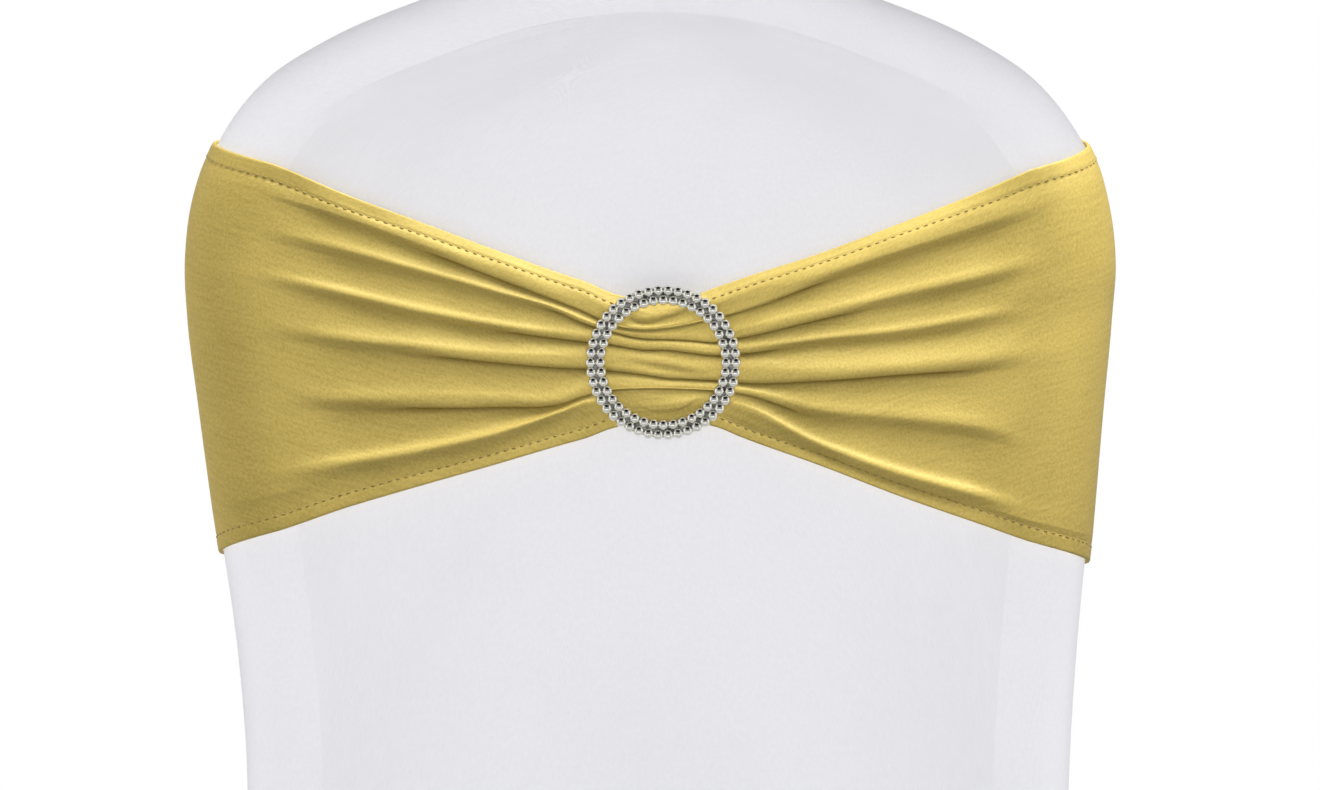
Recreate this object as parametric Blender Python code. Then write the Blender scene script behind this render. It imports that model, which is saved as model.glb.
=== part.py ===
"""Stretch cover for a banquet chair, with a gathered sash and a ring buckle round its back.

The cover is four panels sewn edge to edge over a chair that is left out: a rear panel, a front
panel that runs down the front of the back, over the seat and on to the floor, and two side
panels. The sash is one closed band, drawn together behind the back by the buckle.

Sizes are in millimetres and become metres when a mesh is made. X runs across the chair, the back
faces -Y, the seat lies towards +Y, and the floor is at Z = 0. The back is worked out upright,
with its middle plane at Y = 0, and then leaned to follow the rear face.
"""

import math

import bmesh
import bpy
import numpy as np

METRES = 0.001

# Cloth, and the gaps between pieces that touch
COVER_CLOTH = 1.6
SASH_CLOTH = 1.6
SEAM_GAP = 0.3
SASH_GAP = 0.5

# The back is a slab with a half-round rim. The side panels begin below the split.
BACK_THICKNESS = 50.0
RIM = BACK_THICKNESS / 2
SPLIT_HEIGHT = 545.0
CROWN_X = -1.0
CROWN_HEIGHT = 923.0

# Outline seen from behind, from the floor up: height, reach to the left, reach to the right
OUTLINE = (
    (0, 205.0, 205.0),
    (200, 193.0, 193.0),
    (400, 178.0, 178.0),
    (520, 170.0, 171.0),
    (592, 169.0, 171.5),
    (641, 173.0, 174.5),
    (690, 180.0, 179.0),
    (739, 186.5, 183.0),
    (772, 190.5, 186.0),
    (797, 191.5, 187.5),
    (821, 188.5, 184.5),
    (838, 183.0, 179.5),
    (854, 174.5, 170.5),
    (871, 160.0, 156.0),
    (887, 135.5, 132.0),
    (903.5, 97.0, 94.0),
    (917, 54.0, 52.0),
)

# Rear face seen from the side: height, y. It is straight above the seat.
REAR_FACE = (
    (0, -224.0),
    (220, -211.0),
    (420, -204.0),
    (540, -210.5),
    (580, -214.5),
    (755, -232.0),
    (923, -248.8),
)

# Corners of the front panel below the split, seen from the side: y, height, radius, reach
FRONT_CORNERS = (
    (-156.0, 472.0, 60.0, 176.0),
    (236.0, 472.0, 38.0, 200.0),
    (246.3, 0.0, 0.0, 205.0),
)

# Hems: the rise of the arch between two feet, and the width of cloth that reaches the floor
REAR_ARCH = 170.0
FRONT_ARCH = 185.0
SIDE_ARCH = 150.0
FOOT = 36.0

# Buckle: a ring with two rows of domes round its face, and a bar behind the cloth
RING_X = 3.3
RING_HEIGHT = 755.0
RING_STANDOFF = 6.0
RING_STEPS = 48
RING_SECTION = (
    # radius, height above the ring's back
    (23.7, 0.0),
    (31.5, 0.0),
    (32.0, 1.0),
    (32.0, 2.6),
    (31.3, 4.0),
    (30.1, 4.6),
    (28.8, 4.0),
    (27.9, 3.5),
    (27.0, 4.0),
    (25.7, 4.6),
    (24.4, 4.0),
    (23.5, 2.6),
    (23.3, 1.0),
)
BAR_WIDTH = 5.0
BAR_THICKNESS = 1.8
BAR_POST_INSIDE = 26.2
BAR_POST_OUTSIDE = 29.6
BAR_SUNK = 1.2

# The sash is ruled with lines on its folds' crests and in their creases, from the top hem down.
# Heights are above the ring's centre: inside the ring, then 32, 98 and 150 mm out on each side.
# The last two columns scale the line's lift on the left and on the right.
SASH_LINES = (
    # line, inside, left 32, 98, 150, right 32, 98, 150, left lift, right lift
    ("hem", 24.0, 32.4, 56.4, 76.0, 33.6, 56.6, 77.9, 0.6, 0.6),
    ("crest", 16.4, 22.1, 47.2, 65.6, 23.8, 45.9, 61.5, 1.0, 1.0),
    ("crease", 13.5, 19.7, 44.1, 61.9, 20.1, 42.2, 57.8, 1.0, 1.0),
    ("crest", 11.0, 18.0, 36.9, 50.8, 11.9, 27.1, 40.2, 0.6, 1.0),
    ("crease", 9.0, 13.9, 33.2, 45.5, 9.4, 23.8, 36.0, 1.6, 1.0),
    ("crest", 7.0, 11.1, 20.5, 32.4, 5.3, 12.7, 22.5, 1.0, 0.8),
    ("crease", 4.1, 7.8, 17.0, 28.3, 2.9, 9.4, 18.0, 1.0, 1.4),
    ("crest", 0.0, -0.4, 5.3, 12.3, -5.7, -2.5, 2.9, 0.9, 1.0),
    ("crease", -6.6, -2.9, 2.0, 7.6, -9.0, -5.7, -2.0, 1.0, 1.0),
    ("crest", -8.6, -12.3, -15.6, -13.5, -11.5, -23.0, -25.8, 0.8, 0.8),
    ("crease", -9.8, -14.2, -19.5, -20.0, -13.7, -27.0, -32.0, 1.0, 1.0),
    ("crest", -12.0, -16.5, -34.8, -43.5, -18.0, -44.3, -59.0, 1.0, 1.0),
    ("crease", -18.9, -21.5, -41.8, -51.2, -24.6, -50.8, -65.2, 1.0, 1.0),
    ("hem", -23.5, -30.8, -50.0, -65.1, -30.3, -54.7, -73.0, 0.6, 0.6),
)
SASH_PLACES = (32.0, 98.0, 150.0)

# Heights of the top and bottom hems where the sash turns round the rim, and across the front
SASH_LEFT_HEMS = (89.8, -77.1)
SASH_RIGHT_HEMS = (91.0, -82.0)
SASH_FRONT_HEMS = (94.0, -82.0)
SASH_TURN = 207.0
SASH_FRONT = 255.0

# Lift of the sash off the back: distance from the ring's centre, on a crest, in a crease
SASH_LIFT = (
    (0, 4.6, 3.2),
    (14, 4.6, 3.0),
    (26, 3.5, 0.6),
    (34, 3.5, 0.6),
    (60, 6.0, 0.7),
    (98, 4.8, 0.6),
    (150, 1.5, 0.3),
    (207, 0.0, 0.0),
)
# The most lift near the ring, which presses on the folds: distance from its centre, lift
RING_PRESS = ((16.5, 9.0), (20.6, 3.5), (34.0, 3.5), (38.0, 9.0))
CREST_FULLNESS = 0.12

# How finely the solids are divided
RIM_STEPS = 4
PANEL_PARTS = (0.0, 0.05, 0.12, 0.22, 0.35, 0.5, 0.65, 0.78, 0.88, 0.95, 1.0)
SIDE_PARTS = (0.0, 0.085, 0.14, 0.23, 0.35, 0.5, 0.65, 0.77, 0.86, 0.915, 1.0)
ROWS_ABOVE = 24
ROWS_BELOW = 22
ROW_CROWDING = 0.85
SIDE_START = 0.15
SASH_REAR = (0, 5, 11, 17, 22.5, 28, 33.5, 40, 50, 62, 76, 92, 110, 130, 150)
SASH_FRONT_PARTS = (0.17, 0.33, 0.5, 0.67, 0.83)
MERGE = 2e-6


def clear_scene():
    for old in list(bpy.data.objects):
        bpy.data.objects.remove(old, do_unlink=True)


def material(name, colour, roughness, metallic=0.0):
    made = bpy.data.materials.new(name)
    made.use_nodes = True
    shader = made.node_tree.nodes["Principled BSDF"]
    shader.inputs["Base Color"].default_value = (*colour, 1.0)
    shader.inputs["Roughness"].default_value = roughness
    shader.inputs["Metallic"].default_value = metallic
    return made


# ---- curves -----------------------------------------------------------------------------------


def smooth(places, values, at):
    """Reads a curve through values at the given places, with no kink at any of them."""
    places, values = np.asarray(places, float), np.asarray(values, float)
    at = np.clip(at, places[0], places[-1])
    slopes = np.gradient(values, places)
    span = np.clip(np.searchsorted(places, at) - 1, 0, len(places) - 2)
    width = places[span + 1] - places[span]
    rise = values[span + 1] - values[span]
    part = (at - places[span]) / width
    leave = slopes[span] * width - rise
    arrive = rise - slopes[span + 1] * width
    return values[span] + rise * part + part * (1 - part) * ((1 - part) * leave + part * arrive)


def lengths(points):
    """Distance along a path at each of its points."""
    steps = np.linalg.norm(np.diff(points, axis=0), axis=1)
    return np.concatenate([[0.0], np.cumsum(steps)])


def smooth_path(points, count):
    points = np.asarray(points, float)
    along = lengths(points)
    at = np.linspace(0, along[-1], count)
    return np.stack([smooth(along, column, at) for column in points.T], 1)


def normals(path):
    """Unit normals on the right-hand side of a flat path."""
    direction = np.gradient(path, axis=0)
    direction /= np.linalg.norm(direction, axis=1, keepdims=True)
    return np.stack([direction[:, 1], -direction[:, 0]], 1)


def stations(path, count, stride, turn=15.0):
    """Indices along a dense path, spaced by a stride and closer together where it turns."""
    steps = np.diff(path, axis=0)
    heading = np.unwrap(np.arctan2(steps[:, 1], steps[:, 0]))
    turned = np.abs(np.diff(heading, prepend=heading[0])) / math.radians(turn)
    effort = np.cumsum(turned + np.linalg.norm(steps, axis=1) / stride)
    wanted = np.linspace(0, effort[-1], count + 1)
    return np.clip(np.searchsorted(effort, wanted) + (wanted > 0), 0, len(path) - 1)


def fillet(before, corner, after, radius, count=24):
    """Points of the arc that rounds a corner."""
    corner = np.asarray(corner, float)
    back, on = np.asarray(before) - corner, np.asarray(after) - corner
    back, on = back / np.linalg.norm(back), on / np.linalg.norm(on)
    half = math.acos(float(np.clip(back @ on, -1, 1))) / 2
    centre = corner + (back + on) / np.linalg.norm(back + on) * radius / math.sin(half)
    first = corner + back * radius / math.tan(half) - centre
    last = corner + on * radius / math.tan(half) - centre
    sweep = math.atan2(first[0] * last[1] - first[1] * last[0], float(first @ last))
    turns = np.linspace(0, sweep, count)
    x = first[0] * np.cos(turns) - first[1] * np.sin(turns)
    y = first[0] * np.sin(turns) + first[1] * np.cos(turns)
    return centre + np.stack([x, y], 1)


# ---- the back ---------------------------------------------------------------------------------


def rear_y(height):
    return smooth(*zip(*REAR_FACE), height)


def leaned(points):
    """Moves points of the upright back to follow the leaning one."""
    points = np.array(points, float)
    points[..., 1] += rear_y(points[..., 2]) + RIM
    return points


class Outline:
    """One side of the back's outline, from the floor to the crown, with its inward normals."""

    def __init__(self, side):
        left = [(-row[1], row[0]) for row in OUTLINE]
        right = [(row[2], row[0]) for row in OUTLINE]
        whole = smooth_path([*left, (CROWN_X, CROWN_HEIGHT), *reversed(right)], 4001)
        inward = normals(whole)
        crown = int(np.argmax(whole[:, 1]))
        half = slice(0, crown + 1) if side == "left" else slice(None, crown - 1, -1)
        self.path, self.inward = whole[half], inward[half]
        self.split = int(np.argmin(np.abs(self.path[:, 1] - SPLIT_HEIGHT)))
        self.sign = -1.0 if side == "left" else 1.0

    def rows(self):
        """Indices of the panels' rows, from the floor to the split and on to the crown."""
        heights = SPLIT_HEIGHT * (1 - np.linspace(1, 0, ROWS_BELOW + 1)[:-1] ** ROW_CROWDING)
        below = [int(np.argmin(np.abs(self.path[: self.split, 1] - height))) for height in heights]
        return [*below, *(self.split + stations(self.path[self.split :], ROWS_ABOVE, 40.0))]

    def frame(self, row, facing):
        """The rim's centre, its way out to the edge and its way out to the face, upright."""
        x, z = self.path[row] + self.inward[row] * RIM
        away_x, away_z = -self.inward[row]
        return np.array([(x, 0, z), (away_x, 0, away_z), (0, facing, 0)])

    def x_at(self, depth, angle, height):
        """X of the rim above the seat, at a depth from its centre, an angle and some heights."""
        drawn_in = RIM - depth * math.cos(angle)
        line = (self.path + self.inward * drawn_in)[self.split :]
        line = line[: int(np.argmax(line[:, 1])) + 1]
        return np.interp(height, line[:, 1], line[:, 0])


# ---- the cover --------------------------------------------------------------------------------


def arch(reach, half_width, rise):
    """Height of an arched hem at some distances from its middle."""
    along = np.clip(np.abs(reach) / (half_width - FOOT), 0, 1)
    return rise * (1 - along**2.6) ** 0.8


def on_floor(heights, drop):
    """The heights, or the floor's on the row that reaches it."""
    return np.where(drop > 0.999, 0.0, heights)


def panel_row(left, right, depth, seam):
    """A row of a panel from rim to rim, between two frames. The seam is where the rim starts."""
    angles = np.linspace(0, math.pi / 2, RIM_STEPS + 1)
    angles[0] = seam / RIM
    edges = []
    for centre, edge, face in (left, right):
        edges.append([centre + depth * (edge * math.cos(a) + face * math.sin(a)) for a in angles])
    start, end = edges[0][-1], edges[1][-1]
    flat = [start + (end - start) * part for part in PANEL_PARTS[1:-1]]
    return np.array([*edges[0], *flat, *reversed(edges[1])])


def rear_panel(left, right, depth, seam):
    """Rows of the rear panel from its hem to the crown, at a depth from the back's middle."""
    rows = []
    for row_left, row_right in zip(left.rows(), right.rows()):
        row = panel_row(left.frame(row_left, -1), right.frame(row_right, -1), depth, seam)
        drop = max(0.0, 1 - left.path[row_left, 1] / SPLIT_HEIGHT)
        row[:, 2] = on_floor(row[:, 2], drop) + arch(row[:, 0], row[-1, 0], REAR_ARCH) * drop**2
        rows.append(leaned(row))
    return np.array(rows)


def front_profile():
    """The front panel below the split, seen from the side, and its reach along the way."""
    start = (float(rear_y(SPLIT_HEIGHT)) + BACK_THICKNESS, SPLIT_HEIGHT)
    corners = [start, *[corner[:2] for corner in FRONT_CORNERS]]
    points, marks = [np.array([start])], [0.0]
    for number, (_, _, radius, _) in enumerate(FRONT_CORNERS[:-1]):
        arc = fillet(*corners[number : number + 3], radius)
        points.append(arc)
        marks.append(lengths(np.concatenate(points))[-len(arc) // 2])
    points.append(np.array([corners[-1]]))
    rough = np.concatenate(points)
    along = lengths(rough)
    at = np.linspace(0, along[-1], 1500)
    path = np.stack([np.interp(at, along, column) for column in rough.T], 1)
    return path, at, [*marks, along[-1]]


def front_panel(left, right, depth, seam):
    """Rows of the front panel from its hem, over the seat and up the back to the crown."""
    path, at, marks = front_profile()
    away = -normals(path)
    rows = []
    for index in reversed(stations(path, ROWS_BELOW, 40.0)[1:]):
        sunk = path[index] - away[index] * RIM
        frames = []
        for outline in (left, right):
            reaches = [abs(outline.path[outline.split, 0]), *[corner[3] for corner in FRONT_CORNERS]]
            x = outline.sign * (float(smooth(marks, reaches, at[index])) - RIM)
            frames.append(np.array([(x, *sunk), (outline.sign, 0, 0), (0, *away[index])]))
        row = panel_row(*frames, depth, seam)
        drop = max(0.0, 1 - path[index, 1] / (FRONT_CORNERS[1][1] - FRONT_CORNERS[1][2]))
        row[:, 2] = on_floor(row[:, 2], drop) + arch(row[:, 0], row[-1, 0], FRONT_ARCH) * drop**2
        rows.append(row)
    above = slice(ROWS_BELOW, None)
    for row_left, row_right in zip(left.rows()[above], right.rows()[above]):
        row = panel_row(left.frame(row_left, 1), right.frame(row_right, 1), depth, seam)
        rows.append(leaned(row))
    return np.array(rows)


def side_panel(rear_seam, front_seam):
    """Rows of a side panel from its hem up, ruled between its two seams."""
    length = np.linalg.norm(front_seam[0] - rear_seam[0])
    rows = []
    for number in [*range(ROWS_BELOW), ROWS_BELOW - SIDE_START]:
        lower, upper = int(number), min(int(number) + 1, ROWS_BELOW)
        rear, front = [
            seam[lower] + (seam[upper] - seam[lower]) * (number - lower)
            for seam in (rear_seam, front_seam)
        ]
        gap = SEAM_GAP / 2 / np.linalg.norm(front - rear)
        parts = np.clip(SIDE_PARTS, gap, 1 - gap)[:, None]
        row = rear + (front - rear) * parts
        drop = 1 - number / ROWS_BELOW
        row[:, 2] += arch((parts[:, 0] - 0.5) * length, length / 2, SIDE_ARCH) * drop**2
        rows.append(row)
    return np.array(rows)


def make_cover(paint):
    left, right = Outline("left"), Outline("right")
    layers = {"rear_panel": [], "front_panel": [], "side_panel_left": [], "side_panel_right": []}
    for depth in (RIM, RIM - COVER_CLOTH):
        layers["rear_panel"].append(rear_panel(left, right, depth, SEAM_GAP / 2))
        layers["front_panel"].append(front_panel(left, right, depth, SEAM_GAP / 2))
        rear_seams = rear_panel(left, right, depth, 0.0)[: ROWS_BELOW + 1]
        front_seams = front_panel(left, right, depth, 0.0)[: ROWS_BELOW + 1]
        layers["side_panel_left"].append(side_panel(rear_seams[:, 0], front_seams[:, 0]))
        layers["side_panel_right"].append(side_panel(rear_seams[:, -1], front_seams[:, -1]))
    for name, (outer, inner) in layers.items():
        sheet(name, outer, inner, paint, closed_top=name in ("rear_panel", "front_panel"))


# ---- the sash ---------------------------------------------------------------------------------


def spread(hems):
    """Evenly spaced heights between the top and bottom hem."""
    return np.linspace(*hems, len(SASH_LINES))


def sash_heights(place):
    """Height of each line above the ring's centre, at a signed distance along the sash."""
    table = np.array([line[1:] for line in SASH_LINES])
    left = [spread(SASH_FRONT_HEMS), spread(SASH_LEFT_HEMS), *table[:, 3:0:-1].T]
    right = [*table[:, 4:7].T, spread(SASH_RIGHT_HEMS), spread(SASH_FRONT_HEMS)]
    known = np.array([*left, table[:, 0], *right])
    out = [*SASH_PLACES, SASH_TURN, SASH_FRONT]
    places = [*[-distance for distance in reversed(out)], 0.0, *out]
    return np.array([smooth(places, line, place) for line in known.T])


def sash_lifts(place):
    """Lift of each line off the back, at a signed distance along the sash."""
    distances, crests, creases = zip(*SASH_LIFT)
    lifts = []
    for kind, *_, left, right in SASH_LINES:
        scale = np.interp(place, (-30, 30), (left, right))
        base = np.interp(abs(place), distances, crests if kind == "crest" else creases)
        lifts.append(base * scale)
    return np.array(lifts)


def with_middles(lines, fullness=0.0):
    """Adds a line between each two, raised by a share of the step between them."""
    middles = (lines[:-1] + lines[1:]) / 2 + fullness * np.abs(np.diff(lines))
    both = np.empty(len(lines) + len(middles))
    both[0::2], both[1::2] = lines, middles
    return both


def sash_columns():
    """Columns of the sash round the back: distance along it, side, rim angle, part of the flat."""
    turned = RIM * math.pi / 2
    columns = [(-place, "rear", None, None) for place in reversed(SASH_REAR[1:])]
    columns += [(place, "rear", None, None) for place in SASH_REAR]
    angles = np.linspace(math.pi / 2, -math.pi / 2, 2 * RIM_STEPS + 1)
    corner = SASH_TURN - turned
    columns += [(corner + RIM * (math.pi / 2 - a), "right", a, None) for a in angles]
    columns += [(SASH_FRONT, "front", None, part) for part in SASH_FRONT_PARTS]
    columns += [(-corner - RIM * (math.pi / 2 - a), "left", a, None) for a in reversed(angles)]
    return columns


def sash_grid(thickness):
    """The sash's inner or outer surface, one row for each column of cloth round the back."""
    outlines = {"left": Outline("left"), "right": Outline("right")}
    press_at, press_lift = zip(*RING_PRESS)
    rows = []
    for place, where, angle, part in sash_columns():
        heights = with_middles(sash_heights(place))
        lifts = with_middles(sash_lifts(place), CREST_FULLNESS)
        if where == "rear":
            lifts = np.minimum(lifts, np.interp(np.hypot(place, heights), press_at, press_lift))
        depths = RIM + SASH_GAP + lifts + thickness
        z = RING_HEIGHT + heights
        if where in outlines:
            outline = outlines[where]
            x = [outline.x_at(depth, angle, height) for depth, height in zip(depths, z)]
            y = -depths * math.sin(angle)
        elif where == "front":
            ends = [outlines[side].x_at(RIM, math.pi / 2, z) for side in ("right", "left")]
            x = ends[0] + (ends[1] - ends[0]) * part
            y = depths
        else:
            x = np.full(len(z), RING_X + place)
            y = -depths
        rows.append(leaned(np.stack([x, y, z], 1)))
    return np.array(rows)


def make_sash(paint):
    sheet("sash", sash_grid(SASH_CLOTH), sash_grid(0.0), paint, loop=True)


# ---- the buckle -------------------------------------------------------------------------------


def make_ring(paint):
    """A turned ring joined to a bar that steps back behind the cloth. Its axis is -Y."""
    turns = np.linspace(0, 2 * math.pi, RING_STEPS, endpoint=False)
    points = [(r * math.cos(t), -h, r * math.sin(t)) for t in turns for r, h in RING_SECTION]
    count = len(RING_SECTION)
    faces = []
    for step in range(RING_STEPS):
        for spot in range(count):
            here, there = step * count, (step + 1) % RING_STEPS * count
            after = (spot + 1) % count
            faces.append([here + spot, here + after, there + after, there + spot])
    ring = solid("buckle_ring", points, faces, paint)
    bar = make_bar(paint)
    join = ring.modifiers.new("join bar", "BOOLEAN")
    join.operation = "UNION"
    join.object = bar
    lean = math.atan2(REAR_FACE[-1][1] - REAR_FACE[-2][1], REAR_FACE[-1][0] - REAR_FACE[-2][0])
    for piece in (ring, bar):
        y = float(rear_y(RING_HEIGHT)) - RING_STANDOFF
        piece.location = np.array([RING_X, y, RING_HEIGHT]) * METRES
        piece.rotation_euler.x = -lean
    return ring


def make_bar(paint):
    """A flat bar with a post at each end that reaches forward into the ring."""
    back = RING_STANDOFF - SASH_GAP
    front = back - BAR_THICKNESS
    half = [
        (BAR_POST_OUTSIDE, back),
        (BAR_POST_OUTSIDE, -BAR_SUNK),
        (BAR_POST_INSIDE, -BAR_SUNK),
        (BAR_POST_INSIDE, front),
    ]
    section = [*half, *[(-z, y) for z, y in reversed(half)]]
    count = len(section)
    points = [(x, y, z) for x in (-BAR_WIDTH / 2, BAR_WIDTH / 2) for z, y in section]
    faces = [list(range(count)), list(range(count, 2 * count))]
    for spot in range(count):
        after = (spot + 1) % count
        faces.append([spot, after, count + after, count + spot])
    bar = solid("buckle_bar", points, faces, paint)
    bar.hide_render = True
    bar.display_type = "WIRE"
    return bar


# ---- solids -----------------------------------------------------------------------------------


def solid(name, points, faces, paint):
    """A closed body from points in millimetres, with its faces turned outward."""
    data = bpy.data.meshes.new(name)
    data.from_pydata((np.asarray(points, float) * METRES).tolist(), [], faces)
    work = bmesh.new()
    work.from_mesh(data)
    bmesh.ops.remove_doubles(work, verts=work.verts, dist=MERGE)
    bmesh.ops.dissolve_degenerate(work, edges=work.edges, dist=MERGE)
    bmesh.ops.recalc_face_normals(work, faces=work.faces)
    if work.calc_volume(signed=True) < 0:
        bmesh.ops.reverse_faces(work, faces=work.faces)
    work.to_mesh(data)
    work.free()
    data.shade_smooth()
    data.set_sharp_from_angle(angle=math.radians(40))
    data.materials.append(paint)
    made = bpy.data.objects.new(name, data)
    bpy.context.scene.collection.objects.link(made)
    return made


def sheet(name, outer, inner, paint, loop=False, closed_top=False):
    """Cloth between two grids of points. A loop's last row meets its first; a closed top is
    a row that is folded on itself, which needs no edge."""
    rows, columns = outer.shape[:2]

    count = rows * columns

    def wall(spots):
        """Faces between the two layers along a line of grid places."""
        line = [row % rows * columns + column for row, column in spots]
        return [[a, b, b + count, a + count] for a, b in zip(line, line[1:])]

    last = rows if loop else rows - 1
    faces = []
    for row in range(last):
        for column in range(columns - 1):
            near, far = row * columns + column, (row + 1) % rows * columns + column
            corners = [near, near + 1, far + 1, far]
            faces += [corners, [corner + count for corner in reversed(corners)]]
    for column in (0, columns - 1):
        faces += wall([(row, column) for row in range(last + 1)])
    if not loop:
        for row in (0,) if closed_top else (0, rows - 1):
            faces += wall([(row, column) for column in range(columns)])
    return solid(name, np.concatenate([outer.reshape(-1, 3), inner.reshape(-1, 3)]), faces, paint)


def main():
    clear_scene()
    make_cover(material("white stretch knit", (0.78, 0.78, 0.81), 0.75))
    make_sash(material("gold stretch satin", (0.52, 0.38, 0.10), 0.5))
    make_ring(material("silver stones", (0.80, 0.80, 0.82), 0.2, 1.0))


main()
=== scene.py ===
# %% [markdown]
# # A stretch cover for a banquet chair, with a gathered sash
#
# Four panels of white knit are sewn into a cover that is pulled over the chair. A gold band goes
# round its back and is drawn together through a round buckle set with stones. The packed CAD model
# gives every place and size. Here each piece gets its real surface: thin cloth with rolled hems,
# stitches, seams, folds, and stones in their setting.
#
# The CAD model comes first, because everything else is placed by it.

import math

import bmesh
import bpy
import numpy as np
from mathutils import Matrix, Vector


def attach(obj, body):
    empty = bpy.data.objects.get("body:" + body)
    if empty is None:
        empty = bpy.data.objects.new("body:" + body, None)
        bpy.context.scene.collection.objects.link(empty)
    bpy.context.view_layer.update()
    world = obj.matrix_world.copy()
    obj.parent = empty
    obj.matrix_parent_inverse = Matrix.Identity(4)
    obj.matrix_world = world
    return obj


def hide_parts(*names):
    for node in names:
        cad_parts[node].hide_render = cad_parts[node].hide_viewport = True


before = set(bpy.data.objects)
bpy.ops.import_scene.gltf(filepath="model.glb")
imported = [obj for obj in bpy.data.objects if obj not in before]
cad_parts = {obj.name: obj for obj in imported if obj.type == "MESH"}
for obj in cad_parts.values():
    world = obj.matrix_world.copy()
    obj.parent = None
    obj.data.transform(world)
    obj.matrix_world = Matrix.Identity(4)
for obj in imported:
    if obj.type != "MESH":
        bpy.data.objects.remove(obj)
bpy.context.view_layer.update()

# %% [markdown]
# ## Sizes
#
# Lengths are in millimetres, and become metres when a mesh is made. X runs across the chair, the
# back faces -Y, the seat lies towards +Y, and the floor is at Z = 0. The back is worked out
# upright, with its middle plane at Y = 0, and then leaned to follow its rear face.
#
# The tables are the ones that the CAD model was drawn from, so the fine cloth follows its solids.

# %% Sizes of the back and the cover
MM = 0.001

CLOTH = 0.8
SEAM_GAP = 0.3
BACK_THICKNESS = 50.0
RIM = BACK_THICKNESS / 2
SPLIT_HEIGHT = 545.0
CROWN = (-1.0, 923.0)

# Outline seen from behind, from the floor up: height, reach to the left, reach to the right
OUTLINE = (
    (0, 205.0, 205.0),
    (200, 193.0, 193.0),
    (400, 178.0, 178.0),
    (520, 170.0, 171.0),
    (592, 169.0, 171.5),
    (641, 173.0, 174.5),
    (690, 180.0, 179.0),
    (739, 186.5, 183.0),
    (772, 190.5, 186.0),
    (797, 191.5, 187.5),
    (821, 188.5, 184.5),
    (838, 183.0, 179.5),
    (854, 174.5, 170.5),
    (871, 160.0, 156.0),
    (887, 135.5, 132.0),
    (903.5, 97.0, 94.0),
    (917, 54.0, 52.0),
)

# Rear face seen from the side: height, y
REAR_FACE = (
    (0, -224.0),
    (220, -211.0),
    (420, -204.0),
    (540, -210.5),
    (580, -214.5),
    (755, -232.0),
    (923, -248.8),
)

# Corners of the front panel below the split, seen from the side: y, height, radius, reach
FRONT_CORNERS = (
    (-156.0, 472.0, 60.0, 176.0),
    (236.0, 472.0, 38.0, 200.0),
    (246.3, 0.0, 0.0, 205.0),
)

REAR_ARCH = 170.0
FRONT_ARCH = 185.0
SIDE_ARCH = 150.0
FOOT = 36.0
FOOT_HEIGHT = 1.4
print("back:", BACK_THICKNESS, "mm thick, its crown", CROWN[1], "mm above the floor")

# %% [markdown]
# ## Smooth curves
#
# Every outline is a short table. A cubic Hermite curve runs through the table's values and takes
# its slope at each from the neighbours, so it has no kinks and doesn't wander far from the table.

# %% Curves through a table
def smooth(places, values, at):
    """Reads a smooth curve through values at the given places."""
    places, values = np.asarray(places, float), np.asarray(values, float)
    at = np.clip(at, places[0], places[-1])
    slopes = np.gradient(values, places)
    span = np.clip(np.searchsorted(places, at) - 1, 0, len(places) - 2)
    width = places[span + 1] - places[span]
    rise = values[span + 1] - values[span]
    part = (at - places[span]) / width
    leave = slopes[span] * width - rise
    arrive = rise - slopes[span + 1] * width
    return values[span] + rise * part + part * (1 - part) * ((1 - part) * leave + part * arrive)


def lengths(points):
    """Distance along a path at each of its points."""
    steps = np.linalg.norm(np.diff(points, axis=0), axis=1)
    return np.concatenate([[0.0], np.cumsum(steps)])


def smooth_path(points, count):
    points = np.asarray(points, float)
    along = lengths(points)
    at = np.linspace(0, along[-1], count)
    return np.stack([smooth(along, column, at) for column in points.T], 1)


def right_of(path):
    """Unit normals on the right-hand side of a flat path."""
    direction = np.gradient(path, axis=0)
    direction /= np.linalg.norm(direction, axis=1, keepdims=True)
    return np.stack([direction[:, 1], -direction[:, 0]], 1)


def stations(path, count, stride, turn=15.0):
    """Indices along a dense path, spaced by a stride and closer together where it turns."""
    steps = np.diff(path, axis=0)
    heading = np.unwrap(np.arctan2(steps[:, 1], steps[:, 0]))
    turned = np.abs(np.diff(heading, prepend=heading[0])) / math.radians(turn)
    effort = np.cumsum(turned + np.linalg.norm(steps, axis=1) / stride)
    wanted = np.linspace(0, effort[-1], count + 1)
    return np.clip(np.searchsorted(effort, wanted) + (wanted > 0), 0, len(path) - 1)


def fillet(before, corner, after, radius, count=40):
    """Points of the arc that rounds a corner."""
    corner = np.asarray(corner, float)
    back, on = np.asarray(before) - corner, np.asarray(after) - corner
    back, on = back / np.linalg.norm(back), on / np.linalg.norm(on)
    half = math.acos(float(np.clip(back @ on, -1, 1))) / 2
    centre = corner + (back + on) / np.linalg.norm(back + on) * radius / math.sin(half)
    first = corner + back * radius / math.tan(half) - centre
    last = corner + on * radius / math.tan(half) - centre
    sweep = math.atan2(first[0] * last[1] - first[1] * last[0], float(first @ last))
    turns = np.linspace(0, sweep, count)
    x = first[0] * np.cos(turns) - first[1] * np.sin(turns)
    y = first[0] * np.sin(turns) + first[1] * np.cos(turns)
    return centre + np.stack([x, y], 1)


def rear_y(height):
    return smooth(*zip(*REAR_FACE), height)


def leaned(points):
    """Moves points of the upright back to follow the leaning one."""
    points = np.array(points, float)
    points[..., 1] += rear_y(points[..., 2]) + RIM
    return points


print("rear face at the buckle's height:", round(float(rear_y(755.0)), 1), "mm")

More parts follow.
